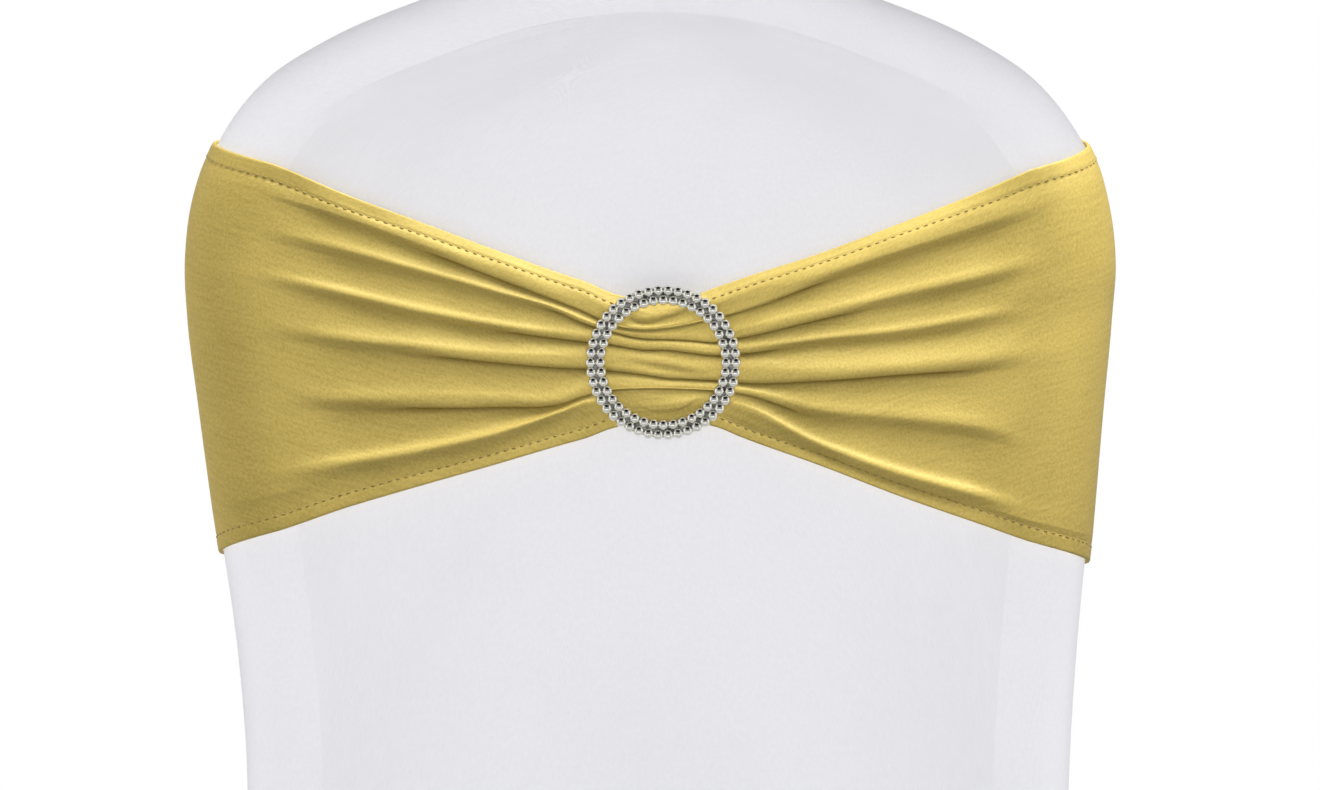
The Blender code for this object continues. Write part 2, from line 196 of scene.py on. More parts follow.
# %% [markdown]
# ## From a grid of points to cloth
#
# A panel of cloth is a grid: rows one way, columns the other. Laid out as faces it is a surface
# without thickness, and a Solidify modifier gives it the thickness of the knit on its inner side.
# The lengths along the rows and columns become its UV map, in metres, so that the knit in the
# material has its real size and follows the cloth wherever it goes.
#
# A hem is cloth turned under. Modelling the roll itself, a few rows that go round the edge and
# back inside, gives the soft round edge that a plain cut edge never has.

# %% Grid helpers
HEM_ROLL = (
    # past the edge, in from the face, going round from the face to the inside
    (0.30, -0.12),
    (0.52, -0.50),
    (0.52, -1.00),
    (0.25, -1.45),
    (-0.50, -1.62),
    (-5.00, -1.65),
)


def unit(vectors):
    return vectors / np.maximum(np.linalg.norm(vectors, axis=-1, keepdims=True), 1e-9)


def rolled_hem(rows, outward):
    """Adds the rows of a turned-under hem beyond the first row of a grid."""
    edge, past = rows[0], unit(rows[0] - rows[1])
    roll = [edge + past * out + outward * into for out, into in HEM_ROLL]
    return np.concatenate([np.array(roll[::-1]), rows])


def cloth_lengths(grid, axis):
    """Distance along a grid's rows or columns, from the first, at each point."""
    steps = np.linalg.norm(np.diff(grid, axis=axis), axis=-1)
    start = np.zeros_like(np.take(steps, [0], axis=axis))
    return np.cumsum(np.concatenate([start, steps], axis=axis), axis=axis)


print("a hem turns under in", len(HEM_ROLL), "rows")

# %% [markdown]
# The sheet itself is made from the grid's points. The two diagonals of its faces give the way that
# they look, so the sheet is turned over where that is wrong. Points that fall on each other, as
# where a closed band meets itself, are merged before the cloth gets its thickness.

# %% A sheet of cloth
MERGE = 2e-7


def new_object(name, mesh):
    made = bpy.data.objects.new(name, mesh)
    bpy.context.scene.collection.objects.link(made)
    return made


def cloth(name, grid, paint, outward, thickness=CLOTH):
    """A sheet of cloth on a grid of points. Its faces are turned to look outward."""
    rows, columns = grid.shape[:2]
    corner = np.arange(rows * columns).reshape(rows, columns)
    faces = np.stack([corner[:-1, :-1], corner[:-1, 1:], corner[1:, 1:], corner[1:, :-1]], -1)
    faces = faces.reshape(-1, 4)
    points = grid.reshape(-1, 3) * MM
    middle = corner[:-1, columns // 3 : 2 * columns // 3].ravel()
    one_way = points[middle + columns + 1] - points[middle]
    other_way = points[middle + columns] - points[middle + 1]
    if np.cross(one_way, other_way).sum(0) @ np.asarray(outward, float) < 0:
        faces = faces[:, ::-1]
    mesh = bpy.data.meshes.new(name)
    mesh.from_pydata(points.tolist(), [], faces.tolist())
    flat = np.stack([cloth_lengths(grid, 1), cloth_lengths(grid, 0)], -1).reshape(-1, 2) * MM
    uv = mesh.uv_layers.new(name="cloth")
    spots = np.empty(len(mesh.loops), np.int32)
    mesh.loops.foreach_get("vertex_index", spots)
    uv.data.foreach_set("uv", flat[spots].ravel())
    work = bmesh.new()
    work.from_mesh(mesh)
    bmesh.ops.remove_doubles(work, verts=work.verts, dist=MERGE)
    work.to_mesh(mesh)
    work.free()
    mesh.shade_smooth()
    mesh.materials.append(paint)
    made = new_object(name, mesh)
    wall = made.modifiers.new("thickness of the knit", "SOLIDIFY")
    wall.thickness = thickness * MM
    wall.offset = -1.0
    return made


print("cloth of the cover:", CLOTH, "mm thick")

# %% [markdown]
# ## Paints
#
# Each finish is a Principled shader with a few textures. A small helper adds nodes and joins them,
# so that each material below reads as a recipe. All of them read the cloth's own UV map or Object
# coordinates, in metres.

# %% A helper for materials
# A wave texture of scale 1 turns through this many radians in a metre
WAVE_RADIANS = 20


class Paint:
    """A material under construction."""

    def __init__(self, name, colour, roughness, metallic=0.0):
        self.material = bpy.data.materials.new(name)
        self.material.use_nodes = True
        self.tree = self.material.node_tree
        self.shader = self.tree.nodes["Principled BSDF"]
        self.shader.inputs["Base Color"].default_value = (*colour, 1.0)
        self.shader.inputs["Roughness"].default_value = roughness
        self.shader.inputs["Metallic"].default_value = metallic

    def add(self, kind, settings=(), **inputs):
        """A new node with its settings, and inputs that are numbers or other nodes' outputs."""
        node = self.tree.nodes.new(kind)
        for key, value in dict(settings).items():
            setattr(node, key, value)
        for key, value in inputs.items():
            numbered = key[0] == "i" and key[1:].isdigit()
            socket = node.inputs[int(key[1:]) if numbered else key.replace("_", " ")]
            if isinstance(value, bpy.types.NodeSocket):
                self.tree.links.new(value, socket)
            else:
                socket.default_value = value
        return node

    def plug(self, output, name):
        self.tree.links.new(output, self.shader.inputs[name])

    def cloth_place(self):
        return self.add("ShaderNodeUVMap", {"uv_map": "cloth"}).outputs["UV"]

    def object_place(self):
        return self.add("ShaderNodeTexCoord").outputs["Object"]

    def stretched(self, place, scale):
        return self.add("ShaderNodeMapping", Vector=place, Scale=scale).outputs["Vector"]

    def noise(self, place, scale, detail=2.0, rough=0.5):
        return self.add("ShaderNodeTexNoise", Vector=place, Scale=scale, Detail=detail,
                        Roughness=rough).outputs["Fac"]

    def bands(self, place, direction, pitch, wobble=0.0):
        """Even ribs with a pitch in metres."""
        settings = {"wave_type": "BANDS", "bands_direction": direction}
        scale = 2 * math.pi / WAVE_RADIANS / pitch
        return self.add("ShaderNodeTexWave", settings, Vector=place, Scale=scale,
                        Distortion=wobble, Detail=1.0, Detail_Scale=0.4).outputs["Fac"]

    def between(self, value, low, high):
        """Takes a value from 0..1 to low..high."""
        return self.add("ShaderNodeMapRange", Value=value, To_Min=low, To_Max=high).outputs["Result"]

    def math(self, operation, first, second):
        return self.add("ShaderNodeMath", {"operation": operation}, i0=first, i1=second).outputs[0]

    def shades(self, value, *stops):
        """Colours along a value: each stop is a place and a colour."""
        ramp = self.add("ShaderNodeValToRGB", Fac=value)
        band = ramp.color_ramp
        while len(band.elements) < len(stops):
            band.elements.new(0.5)
        for element, (place, colour) in zip(band.elements, stops):
            element.position = place
            element.color = (*colour, 1.0)
        return ramp.outputs["Color"]

    def darken(self, colour, value):
        """Scales a colour by a value."""
        mixed = self.add("ShaderNodeVectorMath", {"operation": "SCALE"})
        self.tree.links.new(colour, mixed.inputs[0])
        self.tree.links.new(value, mixed.inputs["Scale"])
        return mixed.outputs["Vector"]

    def bump(self, height, depth, strength=1.0):
        """Relief with a depth in metres."""
        node = self.add("ShaderNodeBump", Height=height, Distance=depth, Strength=strength)
        self.plug(node.outputs["Normal"], "Normal")


print("a recipe can use:", *[name for name in vars(Paint) if not name.startswith("_")])

# %% [markdown]
# ### White stretch knit
#
# A fine jersey with elastane. Close up it is rows of tiny ribs; from further away it is an even
# white with a faint mottle that runs along the ribs, because the yarn is never quite even. It is
# matt, with a little fuzz that catches light at the edges.

# %% White knit
RIB = 0.00055
COURSE = 0.00042


def white_knit():
    paint = Paint("white_stretch_knit", (0.80, 0.80, 0.83), 0.75)
    place = paint.cloth_place()
    mottle = paint.noise(paint.stretched(place, (650.0, 420.0, 1.0)), 1.0, 3.0, 0.7)
    patches = paint.noise(paint.stretched(place, (14.0, 9.0, 1.0)), 1.0, 2.0)
    tone = paint.math(
        "ADD", paint.math("MULTIPLY", mottle, 0.6), paint.math("MULTIPLY", patches, 0.4))
    colour = paint.shades(tone, (0.34, (0.775, 0.773, 0.805)), (0.66, (0.823, 0.820, 0.851)))
    paint.plug(colour, "Base Color")
    ribs = paint.math(
        "MULTIPLY", paint.bands(place, "X", RIB, 0.6), paint.bands(place, "Y", COURSE, 0.8))
    fuzz = paint.noise(place, 1600.0, 2.0, 0.7)
    height = paint.math("ADD", ribs, paint.math("MULTIPLY", fuzz, 0.7))
    paint.bump(height, 0.00012, 0.6)
    paint.plug(paint.between(mottle, 0.68, 0.82), "Roughness")
    paint.shader.inputs["Sheen Weight"].default_value = 0.15
    paint.shader.inputs["Sheen Roughness"].default_value = 0.6
    paint.shader.inputs["Specular IOR Level"].default_value = 0.25
    return paint.material


WHITE_KNIT = white_knit()
print("made", WHITE_KNIT.name)

# %% [markdown]
# ### Gold satin knit
#
# The sash is a heavier knit with a brushed satin face, so it has a soft wide gloss instead of a
# sharp one: folds that face the light turn pale yellow, and those that face away go olive brown.
# The grain is fine and slightly speckled, with faint lines along the ribs.

# %% Gold satin knit
def gold_satin():
    paint = Paint("gold_stretch_satin", (0.47, 0.35, 0.09), 0.50)
    place = paint.cloth_place()
    speck = paint.noise(paint.stretched(place, (900.0, 700.0, 1.0)), 1.0, 2.0, 0.7)
    streak = paint.noise(paint.stretched(place, (60.0, 600.0, 1.0)), 1.0, 2.0, 0.6)
    patches = paint.noise(paint.stretched(place, (16.0, 16.0, 1.0)), 1.0, 2.0)
    tone = paint.math(
        "ADD", paint.math("MULTIPLY", speck, 0.5), paint.math("MULTIPLY", streak, 0.25))
    tone = paint.math("ADD", tone, paint.math("MULTIPLY", patches, 0.25))
    colour = paint.shades(tone, (0.36, (0.385, 0.286, 0.067)), (0.64, (0.570, 0.428, 0.113)))
    paint.plug(colour, "Base Color")
    ribs = paint.math(
        "MULTIPLY", paint.bands(place, "Y", RIB, 0.6), paint.bands(place, "X", COURSE, 0.8))
    height = paint.math("ADD", ribs, paint.math("MULTIPLY", speck, 1.2))
    paint.bump(height, 0.00010, 0.5)
    paint.plug(paint.between(speck, 0.44, 0.56), "Roughness")
    paint.shader.inputs["Sheen Weight"].default_value = 0.04
    paint.shader.inputs["Sheen Roughness"].default_value = 0.45
    paint.shader.inputs["Sheen Tint"].default_value = (1.0, 0.86, 0.45, 1.0)
    paint.shader.inputs["Specular IOR Level"].default_value = 0.75
    paint.shader.inputs["Specular Tint"].default_value = (1.0, 0.90, 0.45, 1.0)
    return paint.material


GOLD_SATIN = gold_satin()
print("made", GOLD_SATIN.name)

# %% [markdown]
# ### Thread, plating and stones
#
# The gold sewing thread is painted darker than its cloth, as painted shade for the small recess that
# each stitch sinks into; the white thread is a shade off its cloth. The buckle is moulded and silver
# plated. Foil-backed stones throw the light back like small mirrors, so theirs is a bright metal and
# not a glass.

# %% Thread and metal
def thread(name, dark, light):
    paint = Paint(name, light, 0.6)
    place = paint.object_place()
    colour = paint.shades(paint.noise(place, 700.0, 2.0), (0.3, dark), (0.7, light))
    paint.plug(colour, "Base Color")
    paint.bump(paint.noise(place, 5000.0, 1.0), 0.00005, 0.5)
    paint.shader.inputs["Sheen Weight"].default_value = 0.2
    return paint.material


def plating(name, dark, light, smooth_low, smooth_high):
    paint = Paint(name, light, smooth_high, metallic=1.0)
    place = paint.object_place()
    plating_mottle = paint.noise(place, 420.0, 3.0, 0.6)
    paint.plug(paint.shades(plating_mottle, (0.35, dark), (0.65, light)), "Base Color")
    paint.plug(paint.between(plating_mottle, smooth_low, smooth_high), "Roughness")
    paint.bump(paint.noise(place, 1800.0, 2.0), 0.00003, 0.3)
    return paint.material


# painted shade: the gold thread is darker than its cloth to stand in for the shade of the recess that
# each stitch sinks into
SHADE_DARKENED_GOLD_THREAD = thread("gold_thread_darkened_as_shade", (0.25, 0.18, 0.04), (0.37, 0.27, 0.07))
WHITE_THREAD = thread("white_thread", (0.66, 0.66, 0.69), (0.80, 0.80, 0.83))
# painted shade: the setting's dark grey stands in for the shade in the gaps between the stones; the
# mottle between its two greys is random tone
SILVER_SETTING = plating("silver_setting", (0.09, 0.09, 0.085), (0.60, 0.60, 0.57), 0.25, 0.50)
SILVER_STONES = plating("foil_backed_stones", (0.79, 0.78, 0.71), (0.88, 0.87, 0.80), 0.08, 0.15)
print("made", SHADE_DARKENED_GOLD_THREAD.name, WHITE_THREAD.name, SILVER_SETTING.name, SILVER_STONES.name)

# %% [markdown]
# ## The cover
#
# The back is a padded slab with a half-round rim, and the cover is stretched over it like a skin.
# It could be sculpted, or shrunk on to a dummy chair by simulation. The stretched knit has no
# folds, so rows of points round the slab are enough, and they keep the seams exactly in place.
#
# One side of the outline is a smooth path from the floor to the crown. At each of its points a
# small frame says where the rim's centre is, which way the edge lies and which way the face lies.

# %% The back's outline
ROWS_BELOW = 84
ROWS_ABOVE = 84
ROW_CROWDING = 0.9
FINE_STRIDE = 12.0
OUTLINE_POINTS = 8001


class Outline:
    """One side of the back's outline, from the floor to the crown, with its inward normals."""

    def __init__(self, side):
        left = [(-row[1], row[0]) for row in OUTLINE]
        right = [(row[2], row[0]) for row in OUTLINE]
        whole = smooth_path([*left, CROWN, *reversed(right)], OUTLINE_POINTS)
        inward = right_of(whole)
        crown = int(np.argmax(whole[:, 1]))
        half = slice(0, crown + 1) if side == "left" else slice(None, crown - 1, -1)
        self.path, self.inward = whole[half], inward[half]
        self.split = int(np.argmin(np.abs(self.path[:, 1] - SPLIT_HEIGHT)))
        self.sign = -1.0 if side == "left" else 1.0

    def rows(self):
        """Indices of the panels' rows, from the floor to the split and on to the crown."""
        heights = SPLIT_HEIGHT * (1 - np.linspace(1, 0, ROWS_BELOW + 1)[:-1] ** ROW_CROWDING)
        below = [int(np.argmin(np.abs(self.path[: self.split, 1] - height))) for height in heights]
        above = stations(self.path[self.split :], ROWS_ABOVE, FINE_STRIDE)
        return [*below, *(self.split + above)]

    def frame(self, row, facing):
        """The rim's centre, its way out to the edge and its way out to the face, upright."""
        x, z = self.path[row] + self.inward[row] * RIM
        away_x, away_z = -self.inward[row]
        return np.array([(x, 0, z), (away_x, 0, away_z), (0, facing, 0)])

    def x_at(self, depth, angle, height):
        """X of the rim above the seat, at a depth from its centre, an angle and some heights."""
        drawn_in = RIM - depth * math.cos(angle)
        line = (self.path + self.inward * drawn_in)[self.split :]
        line = line[: int(np.argmax(line[:, 1])) + 1]
        return np.interp(height, line[:, 1], line[:, 0])


LEFT, RIGHT = Outline("left"), Outline("right")
print("rows from floor to crown:", len(LEFT.rows()))

# %% [markdown]
# ### Rear and front panel
#
# A row starts at the seam in the middle of the rim, goes round a quarter circle to the face,
# crosses it, and goes round the other rim to the seam there. The seam is sewn on the inside, so
# the two edges turn in beside it and leave a fine groove. The hem rises in an arch between the
# feet.

# %% Rows of a panel
RIM_ANGLES = np.radians([0, 1.2, 3, 6, 10, 15, 22, 30, 38, 46, 54, 62, 70, 77, 84, 90])
FLAT_PARTS = np.linspace(0, 1, 42)
SEAM_DEPTH = 0.7
SEAM_HALF = 0.9
# How flat an arched hem is at its top, and how steeply it comes down to the feet
ARCH_FLAT, ARCH_STEEP = 2.6, 0.8
# The hem row, whose drop is this near to 1, is set level before the arch lifts it
HEM_DROP = 0.999
PROFILE_POINTS = 4000


def arch(reach, half_width, rise):
    """Height of an arched hem at some distances from its middle."""
    along = np.clip(np.abs(reach) / (half_width - FOOT), 0, 1)
    return rise * (1 - along**ARCH_FLAT) ** ARCH_STEEP


def seam_dip(distance):
    """How far the cloth turns in beside a seam."""
    return SEAM_DEPTH * np.exp(-((distance / SEAM_HALF) ** 2))


def panel_row(left, right):
    """A row of a panel from rim to rim, between two frames."""
    angles = np.maximum(RIM_ANGLES, SEAM_GAP / 2 / RIM)
    edges = []
    for centre, edge, face in (left, right):
        depth = (RIM - seam_dip(angles * RIM))[:, None]
        way = np.cos(angles)[:, None] * edge + np.sin(angles)[:, None] * face
        edges.append(centre + depth * way)
    start, end = edges[0][-1], edges[1][-1]
    flat = start + (end - start) * FLAT_PARTS[1:-1, None]
    return np.concatenate([edges[0], flat, edges[1][::-1]])


def rear_rows():
    """Rows of the rear panel from its hem to the crown."""
    rows = []
    for row_left, row_right in zip(LEFT.rows(), RIGHT.rows()):
        row = panel_row(LEFT.frame(row_left, -1), RIGHT.frame(row_right, -1))
        drop = max(0.0, 1 - LEFT.path[row_left, 1] / SPLIT_HEIGHT)
        row[:, 2] = np.where(drop > HEM_DROP, FOOT_HEIGHT, row[:, 2])
        row[:, 2] += arch(row[:, 0], row[-1, 0], REAR_ARCH) * drop**2
        rows.append(leaned(row))
    return np.array(rows)


def front_profile():
    """The front panel below the split, seen from the side, and its reach along the way."""
    start = (float(rear_y(SPLIT_HEIGHT)) + BACK_THICKNESS, SPLIT_HEIGHT)
    corners = [start, *[corner[:2] for corner in FRONT_CORNERS]]
    points, marks = [np.array([start])], [0.0]
    for number, (_, _, radius, _) in enumerate(FRONT_CORNERS[:-1]):
        arc = fillet(*corners[number : number + 3], radius)
        points.append(arc)
        marks.append(lengths(np.concatenate(points))[-len(arc) // 2])
    points.append(np.array([corners[-1]]))
    rough = np.concatenate(points)
    along = lengths(rough)
    at = np.linspace(0, along[-1], PROFILE_POINTS)
    path = np.stack([np.interp(at, along, column) for column in rough.T], 1)
    return path, at, [*marks, along[-1]]


def front_rows():
    """Rows of the front panel from its hem, over the seat and up the back to the crown."""
    path, at, marks = front_profile()
    away = -right_of(path)
    foot_height = FRONT_CORNERS[1][1] - FRONT_CORNERS[1][2]
    rows = []
    for index in reversed(stations(path, ROWS_BELOW, FINE_STRIDE)[1:]):
        sunk = path[index] - away[index] * RIM
        frames = []
        for outline in (LEFT, RIGHT):
            reaches = [abs(outline.path[outline.split, 0]), *[corner[3] for corner in FRONT_CORNERS]]
            x = outline.sign * (float(smooth(marks, reaches, at[index])) - RIM)
            frames.append(np.array([(x, *sunk), (outline.sign, 0, 0), (0, *away[index])]))
        row = panel_row(*frames)
        drop = max(0.0, 1 - path[index, 1] / foot_height)
        row[:, 2] = np.where(drop > HEM_DROP, FOOT_HEIGHT, row[:, 2])
        row[:, 2] += arch(row[:, 0], row[-1, 0], FRONT_ARCH) * drop**2
        rows.append(row)
    above = slice(ROWS_BELOW, None)
    for row_left, row_right in zip(LEFT.rows()[above], RIGHT.rows()[above]):
        rows.append(leaned(panel_row(LEFT.frame(row_left, 1), RIGHT.frame(row_right, 1))))
    return np.array(rows)


REAR_ROWS, FRONT_ROWS = rear_rows(), front_rows()
print("rear panel grid:", REAR_ROWS.shape[:2], "front panel grid:", FRONT_ROWS.shape[:2])

# %% [markdown]
# ### Side panels
#
# A side panel fills the space between the rear and the front panel, below the back. It could be
# cut out of a flat sheet, but then its edge points would not meet those of its neighbours. Its
# rows run straight from one seam to the other, so the seams fit row by row. The arch of the hem
# dies out half-way up, and near the top the two seams run together into a narrow tip.

# %% Rows of a side panel
NEAR_SEAM = np.array([0.0, 0.004, 0.012, 0.03])
SIDE_PARTS = np.concatenate([NEAR_SEAM, np.linspace(0.06, 0.94, 34), 1 - NEAR_SEAM[::-1]])
# The last row lies this part of a row below the split, and the arch reaches up over these rows
SIDE_TOP = 0.6
ARCHED_ROWS = 43
ARCH_FADES = 1.5


def side_rows(rear_seam, front_seam, side):
    """Rows of a side panel from its hem up, between its two seams."""
    length = np.linalg.norm(front_seam[0] - rear_seam[0])
    rows = []
    for number in [*range(ROWS_BELOW), ROWS_BELOW - SIDE_TOP]:
        lower, upper = int(number), min(int(number) + 1, ROWS_BELOW)
        rear, front = [
            seam[lower] + (seam[upper] - seam[lower]) * (number - lower)
            for seam in (rear_seam, front_seam)
        ]
        reach = np.linalg.norm(front - rear)
        gap = SEAM_GAP / 2 / reach
        parts = np.clip(SIDE_PARTS, gap, 1 - gap)[:, None]
        row = rear + (front - rear) * parts
        drop = max(0.0, 1 - number / ARCHED_ROWS)
        row[:, 2] += arch((parts[:, 0] - 0.5) * length, length / 2, SIDE_ARCH) * drop**ARCH_FADES
        beside = np.minimum(parts[:, 0], 1 - parts[:, 0]) * reach
        row[:, 0] -= side * seam_dip(beside)
        rows.append(row)
    return np.array(rows)


def seam_line(rows, column, side):
    """The seam itself, before the cloth turns in beside it."""
    line = rows[: ROWS_BELOW + 1, column].copy()
    line[:, 0] += side * SEAM_DEPTH
    return line


SIDE_ROWS = {
    side: side_rows(seam_line(REAR_ROWS, column, sign), seam_line(FRONT_ROWS, column, sign), sign)
    for side, column, sign in (("left", 0, -1.0), ("right", -1, 1.0))
}
print("side panel grid:", SIDE_ROWS["left"].shape[:2])

# %% [markdown]
# ### Sewing the panels
#
# The first row of each panel is its hem. Rolling it under needs the way that the cloth faces
# there, which comes from the cross product of the grid's two directions.

# %% Make the panels
def facing_of(rows, outward):
    """Unit normals along a grid's first row, on its outer side."""
    normal = unit(np.cross(np.gradient(rows[0], axis=0), rows[1] - rows[0]))
    return normal * np.sign(normal @ np.asarray(outward, float))[:, None]


def panel(name, rows, outward):
    hemmed = rolled_hem(rows, facing_of(rows, outward))
    made = cloth("cover_" + name, hemmed, WHITE_KNIT, outward)
    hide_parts(name)
    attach(made, "root")
    return made


COVER = {
    "rear": panel("rear_panel", REAR_ROWS, (0, -1, 0)),
    "front": panel("front_panel", FRONT_ROWS, (0, 1, 0)),
    "left": panel("side_panel_left", SIDE_ROWS["left"], (-1, 0, 0)),
    "right": panel("side_panel_right", SIDE_ROWS["right"], (1, 0, 0)),
}
print("cover faces:", {name: len(made.data.polygons) for name, made in COVER.items()})

# %% [markdown]
# ## The sash
#
# The sash is a flat loop of satin knit, hemmed along both edges, which the buckle gathers to a
# third of its width. From there its folds fan out and fade before the rims. A cloth simulation
# would put folds in places of its own choosing. Here each fold has a place, so the sash is built
# like a pleated pattern: a table says where each crest and each crease runs, and a curve across
# them gives the section at every column.
#
# Heights are above the buckle's centre. Each table has its own distances along the sash.

# %% Tables of the sash's lines
RING_X = 3.3
RING_HEIGHT = 755.0
SASH_GAP = 0.5
SASH_CLOTH = 0.7
SASH_OUT = 1.3

LEFT_AT = (32, 42, 67, 100, 132, 157)
LEFT_LINES = (
    # line, then its height at each distance out to the left
    ("top hem", 32.4, 35.7, 44.7, 57.0, 68.9, 79.5),
    ("crest 1", 22.5, 26.5, 36.6, 48.6, 60.0, 67.6),
    ("crease 1", 19.9, 23.9, 33.4, 45.9, 57.4, 65.6),
    ("crest 2", 17.2, 21.5, 28.6, 37.6, 46.3, 52.3),
    ("crease 2", 15.2, 19.5, 25.8, 34.6, 42.6, 48.4),
    ("crest 3", 10.4, 11.5, 14.9, 20.9, 28.3, 33.7),
    ("crease 3", 7.8, 9.0, 12.3, 17.6, 25.0, 29.9),
    ("crest 4", 0.4, 1.6, 2.6, 6.2, 9.4, 13.5),
    ("crease 4", -3.3, -2.9, -0.8, 2.5, 5.7, 9.0),
    ("crest 5", -11.9, -15.6, -15.4, -15.2, -15.6, -13.5),
    ("crease 5", -14.4, -17.6, -18.9, -19.3, -19.7, -19.7),
    ("crest 6", -16.4, -20.1, -28.7, -36.5, -41.8, -46.3),
    ("crease 6", -20.5, -23.8, -32.8, -40.6, -46.7, -54.1),
    ("bottom hem", -30.8, -33.6, -41.0, -50.4, -59.9, -68.5),
)
RIGHT_AT = (32, 64, 97, 130, 155)
RIGHT_LINES = (
    # line, then its height at each distance out to the right
    ("top hem", 33.6, 43.9, 56.2, 69.3, 80.0),
    ("crest 1", 23.9, 34.9, 45.9, 56.3, 64.8),
    ("crease 1", 20.1, 31.6, 42.2, 52.1, 59.9),
    ("crest 2", 12.7, 19.8, 27.6, 34.9, 41.0),
    ("crease 2", 9.4, 16.8, 23.8, 30.8, 36.9),
    ("crest 3", 5.3, 9.4, 12.9, 18.6, 23.5),
    ("crease 3", 2.9, 7.0, 9.4, 14.4, 18.9),
    ("crest 4", -4.5, -4.8, -2.5, 0.6, 3.4),
    ("crease 4", -9.0, -8.2, -5.7, -3.7, -1.6),
    ("crest 5", -11.5, -19.7, -23.0, -26.9, -32.0),
    ("crease 5", -13.5, -23.4, -27.1, -31.2, -38.1),
    ("crest 6", -18.0, -33.6, -45.9, -54.8, -62.3),
    ("crease 6", -23.8, -37.3, -50.0, -59.0, -66.4),
    ("bottom hem", -30.3, -41.8, -54.5, -66.0, -74.6),
)
BUCKLE_AT = (-20, -9, 2, 12, 21)
BUCKLE_LINES = (
    # line, then its height where it passes through the buckle
    ("top hem", 27.4, 25.0, 24.4, 26.5, 29.8),
    ("crest 1", 15.7, 14.2, 14.9, 16.6, 18.8),
    ("crease 1", 14.3, 12.6, 13.3, 15.1, 17.2),
    ("crest 2", 12.9, 11.0, 10.8, 10.4, 9.6),
    ("crease 2", 11.7, 9.3, 8.8, 8.3, 7.6),
    ("crest 3", 8.2, 6.3, 6.2, 4.8, 3.9),
    ("crease 3", 6.6, 4.8, 4.6, 3.4, 2.4),
    ("crest 4", -2.6, -4.0, -5.6, -6.1, -6.6),
    ("crease 4", -4.0, -5.2, -6.8, -7.3, -7.8),
    ("crest 5", -10.2, -10.1, -10.1, -10.5, -10.8),
    ("crease 5", -11.9, -11.4, -11.3, -11.7, -12.2),
    ("crest 6", -17.0, -17.4, -17.0, -15.6, -15.8),
    ("crease 6", -20.4, -20.1, -19.3, -18.2, -19.2),
    ("bottom hem", -26.4, -24.4, -24.0, -24.6, -25.9),
)
# The crease close under the top hem shows only inside the buckle
TOP_CREST = (22.6, 17.3, 19.2, 22.9, 26.9)
TOP_CREASE = (21.4, 15.9, 18.0, 21.7, 25.6)

# Heights of the hems where the sash turns round the rim and across the front: top, bottom
LEFT_TURN = (90.2, -77.5)
RIGHT_TURN = (92.0, -82.5)
FRONT_HEMS = (89.0, -80.0)
TURN_AT = 192.0
FRONT_AT = 255.0
print("lines on each side:", len(LEFT_LINES), "and in the buckle:", len(BUCKLE_LINES))

# %% [markdown]
# A crease doesn't stay sharp for its whole run. Near the buckle the cloth is tucked under itself
# and the crease is a slit. Further out it opens into a soft trough, and then it is gone. No two
# folds do this alike, so each has its own row here: how deep its crease is, how high its crest
# stands, how full the cloth swells between them, and where the crease stops being sharp. The first
# three are given at five places along the sash and read between them.

# %% How deep each crease is
# Where the tables are read: far and near on the left, both ends of the buckle, near and far right
SIDES = (-115, -50, -22, 22, 50, 115)
DEPTHS = (
    # crease, then its depth: far left, near left, in the buckle, near right, far right
    ("crease 0", 0.0, 0.0, 0.35, 0.0, 0.0),
    ("crease 1", 0.82, 0.66, 0.24, 0.80, 1.08),
    ("crease 2", 0.84, 0.58, 0.54, 0.70, 0.91),
    ("crease 3", 0.97, 0.82, 0.76, 0.78, 0.65),
    ("crease 4", 0.77, 0.74, 0.74, 0.69, 1.03),
    ("crease 5", 0.85, 0.95, 0.15, 0.74, 0.84),
    ("crease 6", 0.85, 0.80, 0.10, 0.80, 0.90),
)
TOPS = (
    # crest, then its lift as a share of the table below, at the same five places
    ("crest 0", 0.85, 0.85, 1.0, 0.85, 0.85),
    ("crest 1", 1.0, 1.0, 1.0, 1.0, 1.0),
    ("crest 2", 0.94, 0.96, 1.0, 1.0, 1.0),
    ("crest 3", 1.0, 0.97, 1.0, 0.88, 0.84),
    ("crest 4", 1.0, 1.0, 1.0, 1.03, 1.10),
    ("crest 5", 0.92, 0.93, 1.0, 0.95, 1.0),
    ("crest 6", 1.05, 1.0, 1.0, 0.94, 1.07),
    ("bottom hem", 1.0, 1.0, 1.0, 1.0, 1.0),
)
FULLNESS = (
    # fold, then how early it rises to its crest, at the same five places
    ("above crease 0", 0.0, 0.0, 0.3, 0.0, 0.0),
    ("above crease 1", 0.4, 0.4, 0.4, 0.4, 0.4),
    ("above crease 2", 0.45, 0.45, 0.5, 0.45, 0.45),
    ("above crease 3", 0.2, 0.3, 0.9, 0.35, 0.3),
    ("above crease 4", 0.45, 0.6, 0.9, 0.7, 0.65),
    ("above crease 5", 0.35, 0.35, 0.8, 0.55, 0.45),
    ("above crease 6", -0.05, 0.15, 0.6, 0.3, -0.1),
)
RUNS = (
    # crease, then how far out it is sharp and where it is gone: left, right
    ("crease 0", 0, 17, 0, 15),
    ("crease 1", 92, 170, 64, 174),
    ("crease 2", 45, 169, 75, 165),
    ("crease 3", 62, 167, 44, 168),
    ("crease 4", 94, 166, 125, 165),
    ("crease 5", 108, 164, 52, 168),
    ("crease 6", 0, 169, 0, 164),
)
# A crease starts to fade at this part of the way to where it is gone
FADING_FROM = 0.74
print("folds:", len(DEPTHS), "each with its own depth, crest, fullness and run")

# %% [markdown]
# How far the cloth stands off the back changes slowly along the sash: most about 60 mm out, where
# the gathered folds are loose, and next to nothing where it lies tight round the rims and the
# front. Under the ring there is a limit to it, because the ring presses the cloth down.

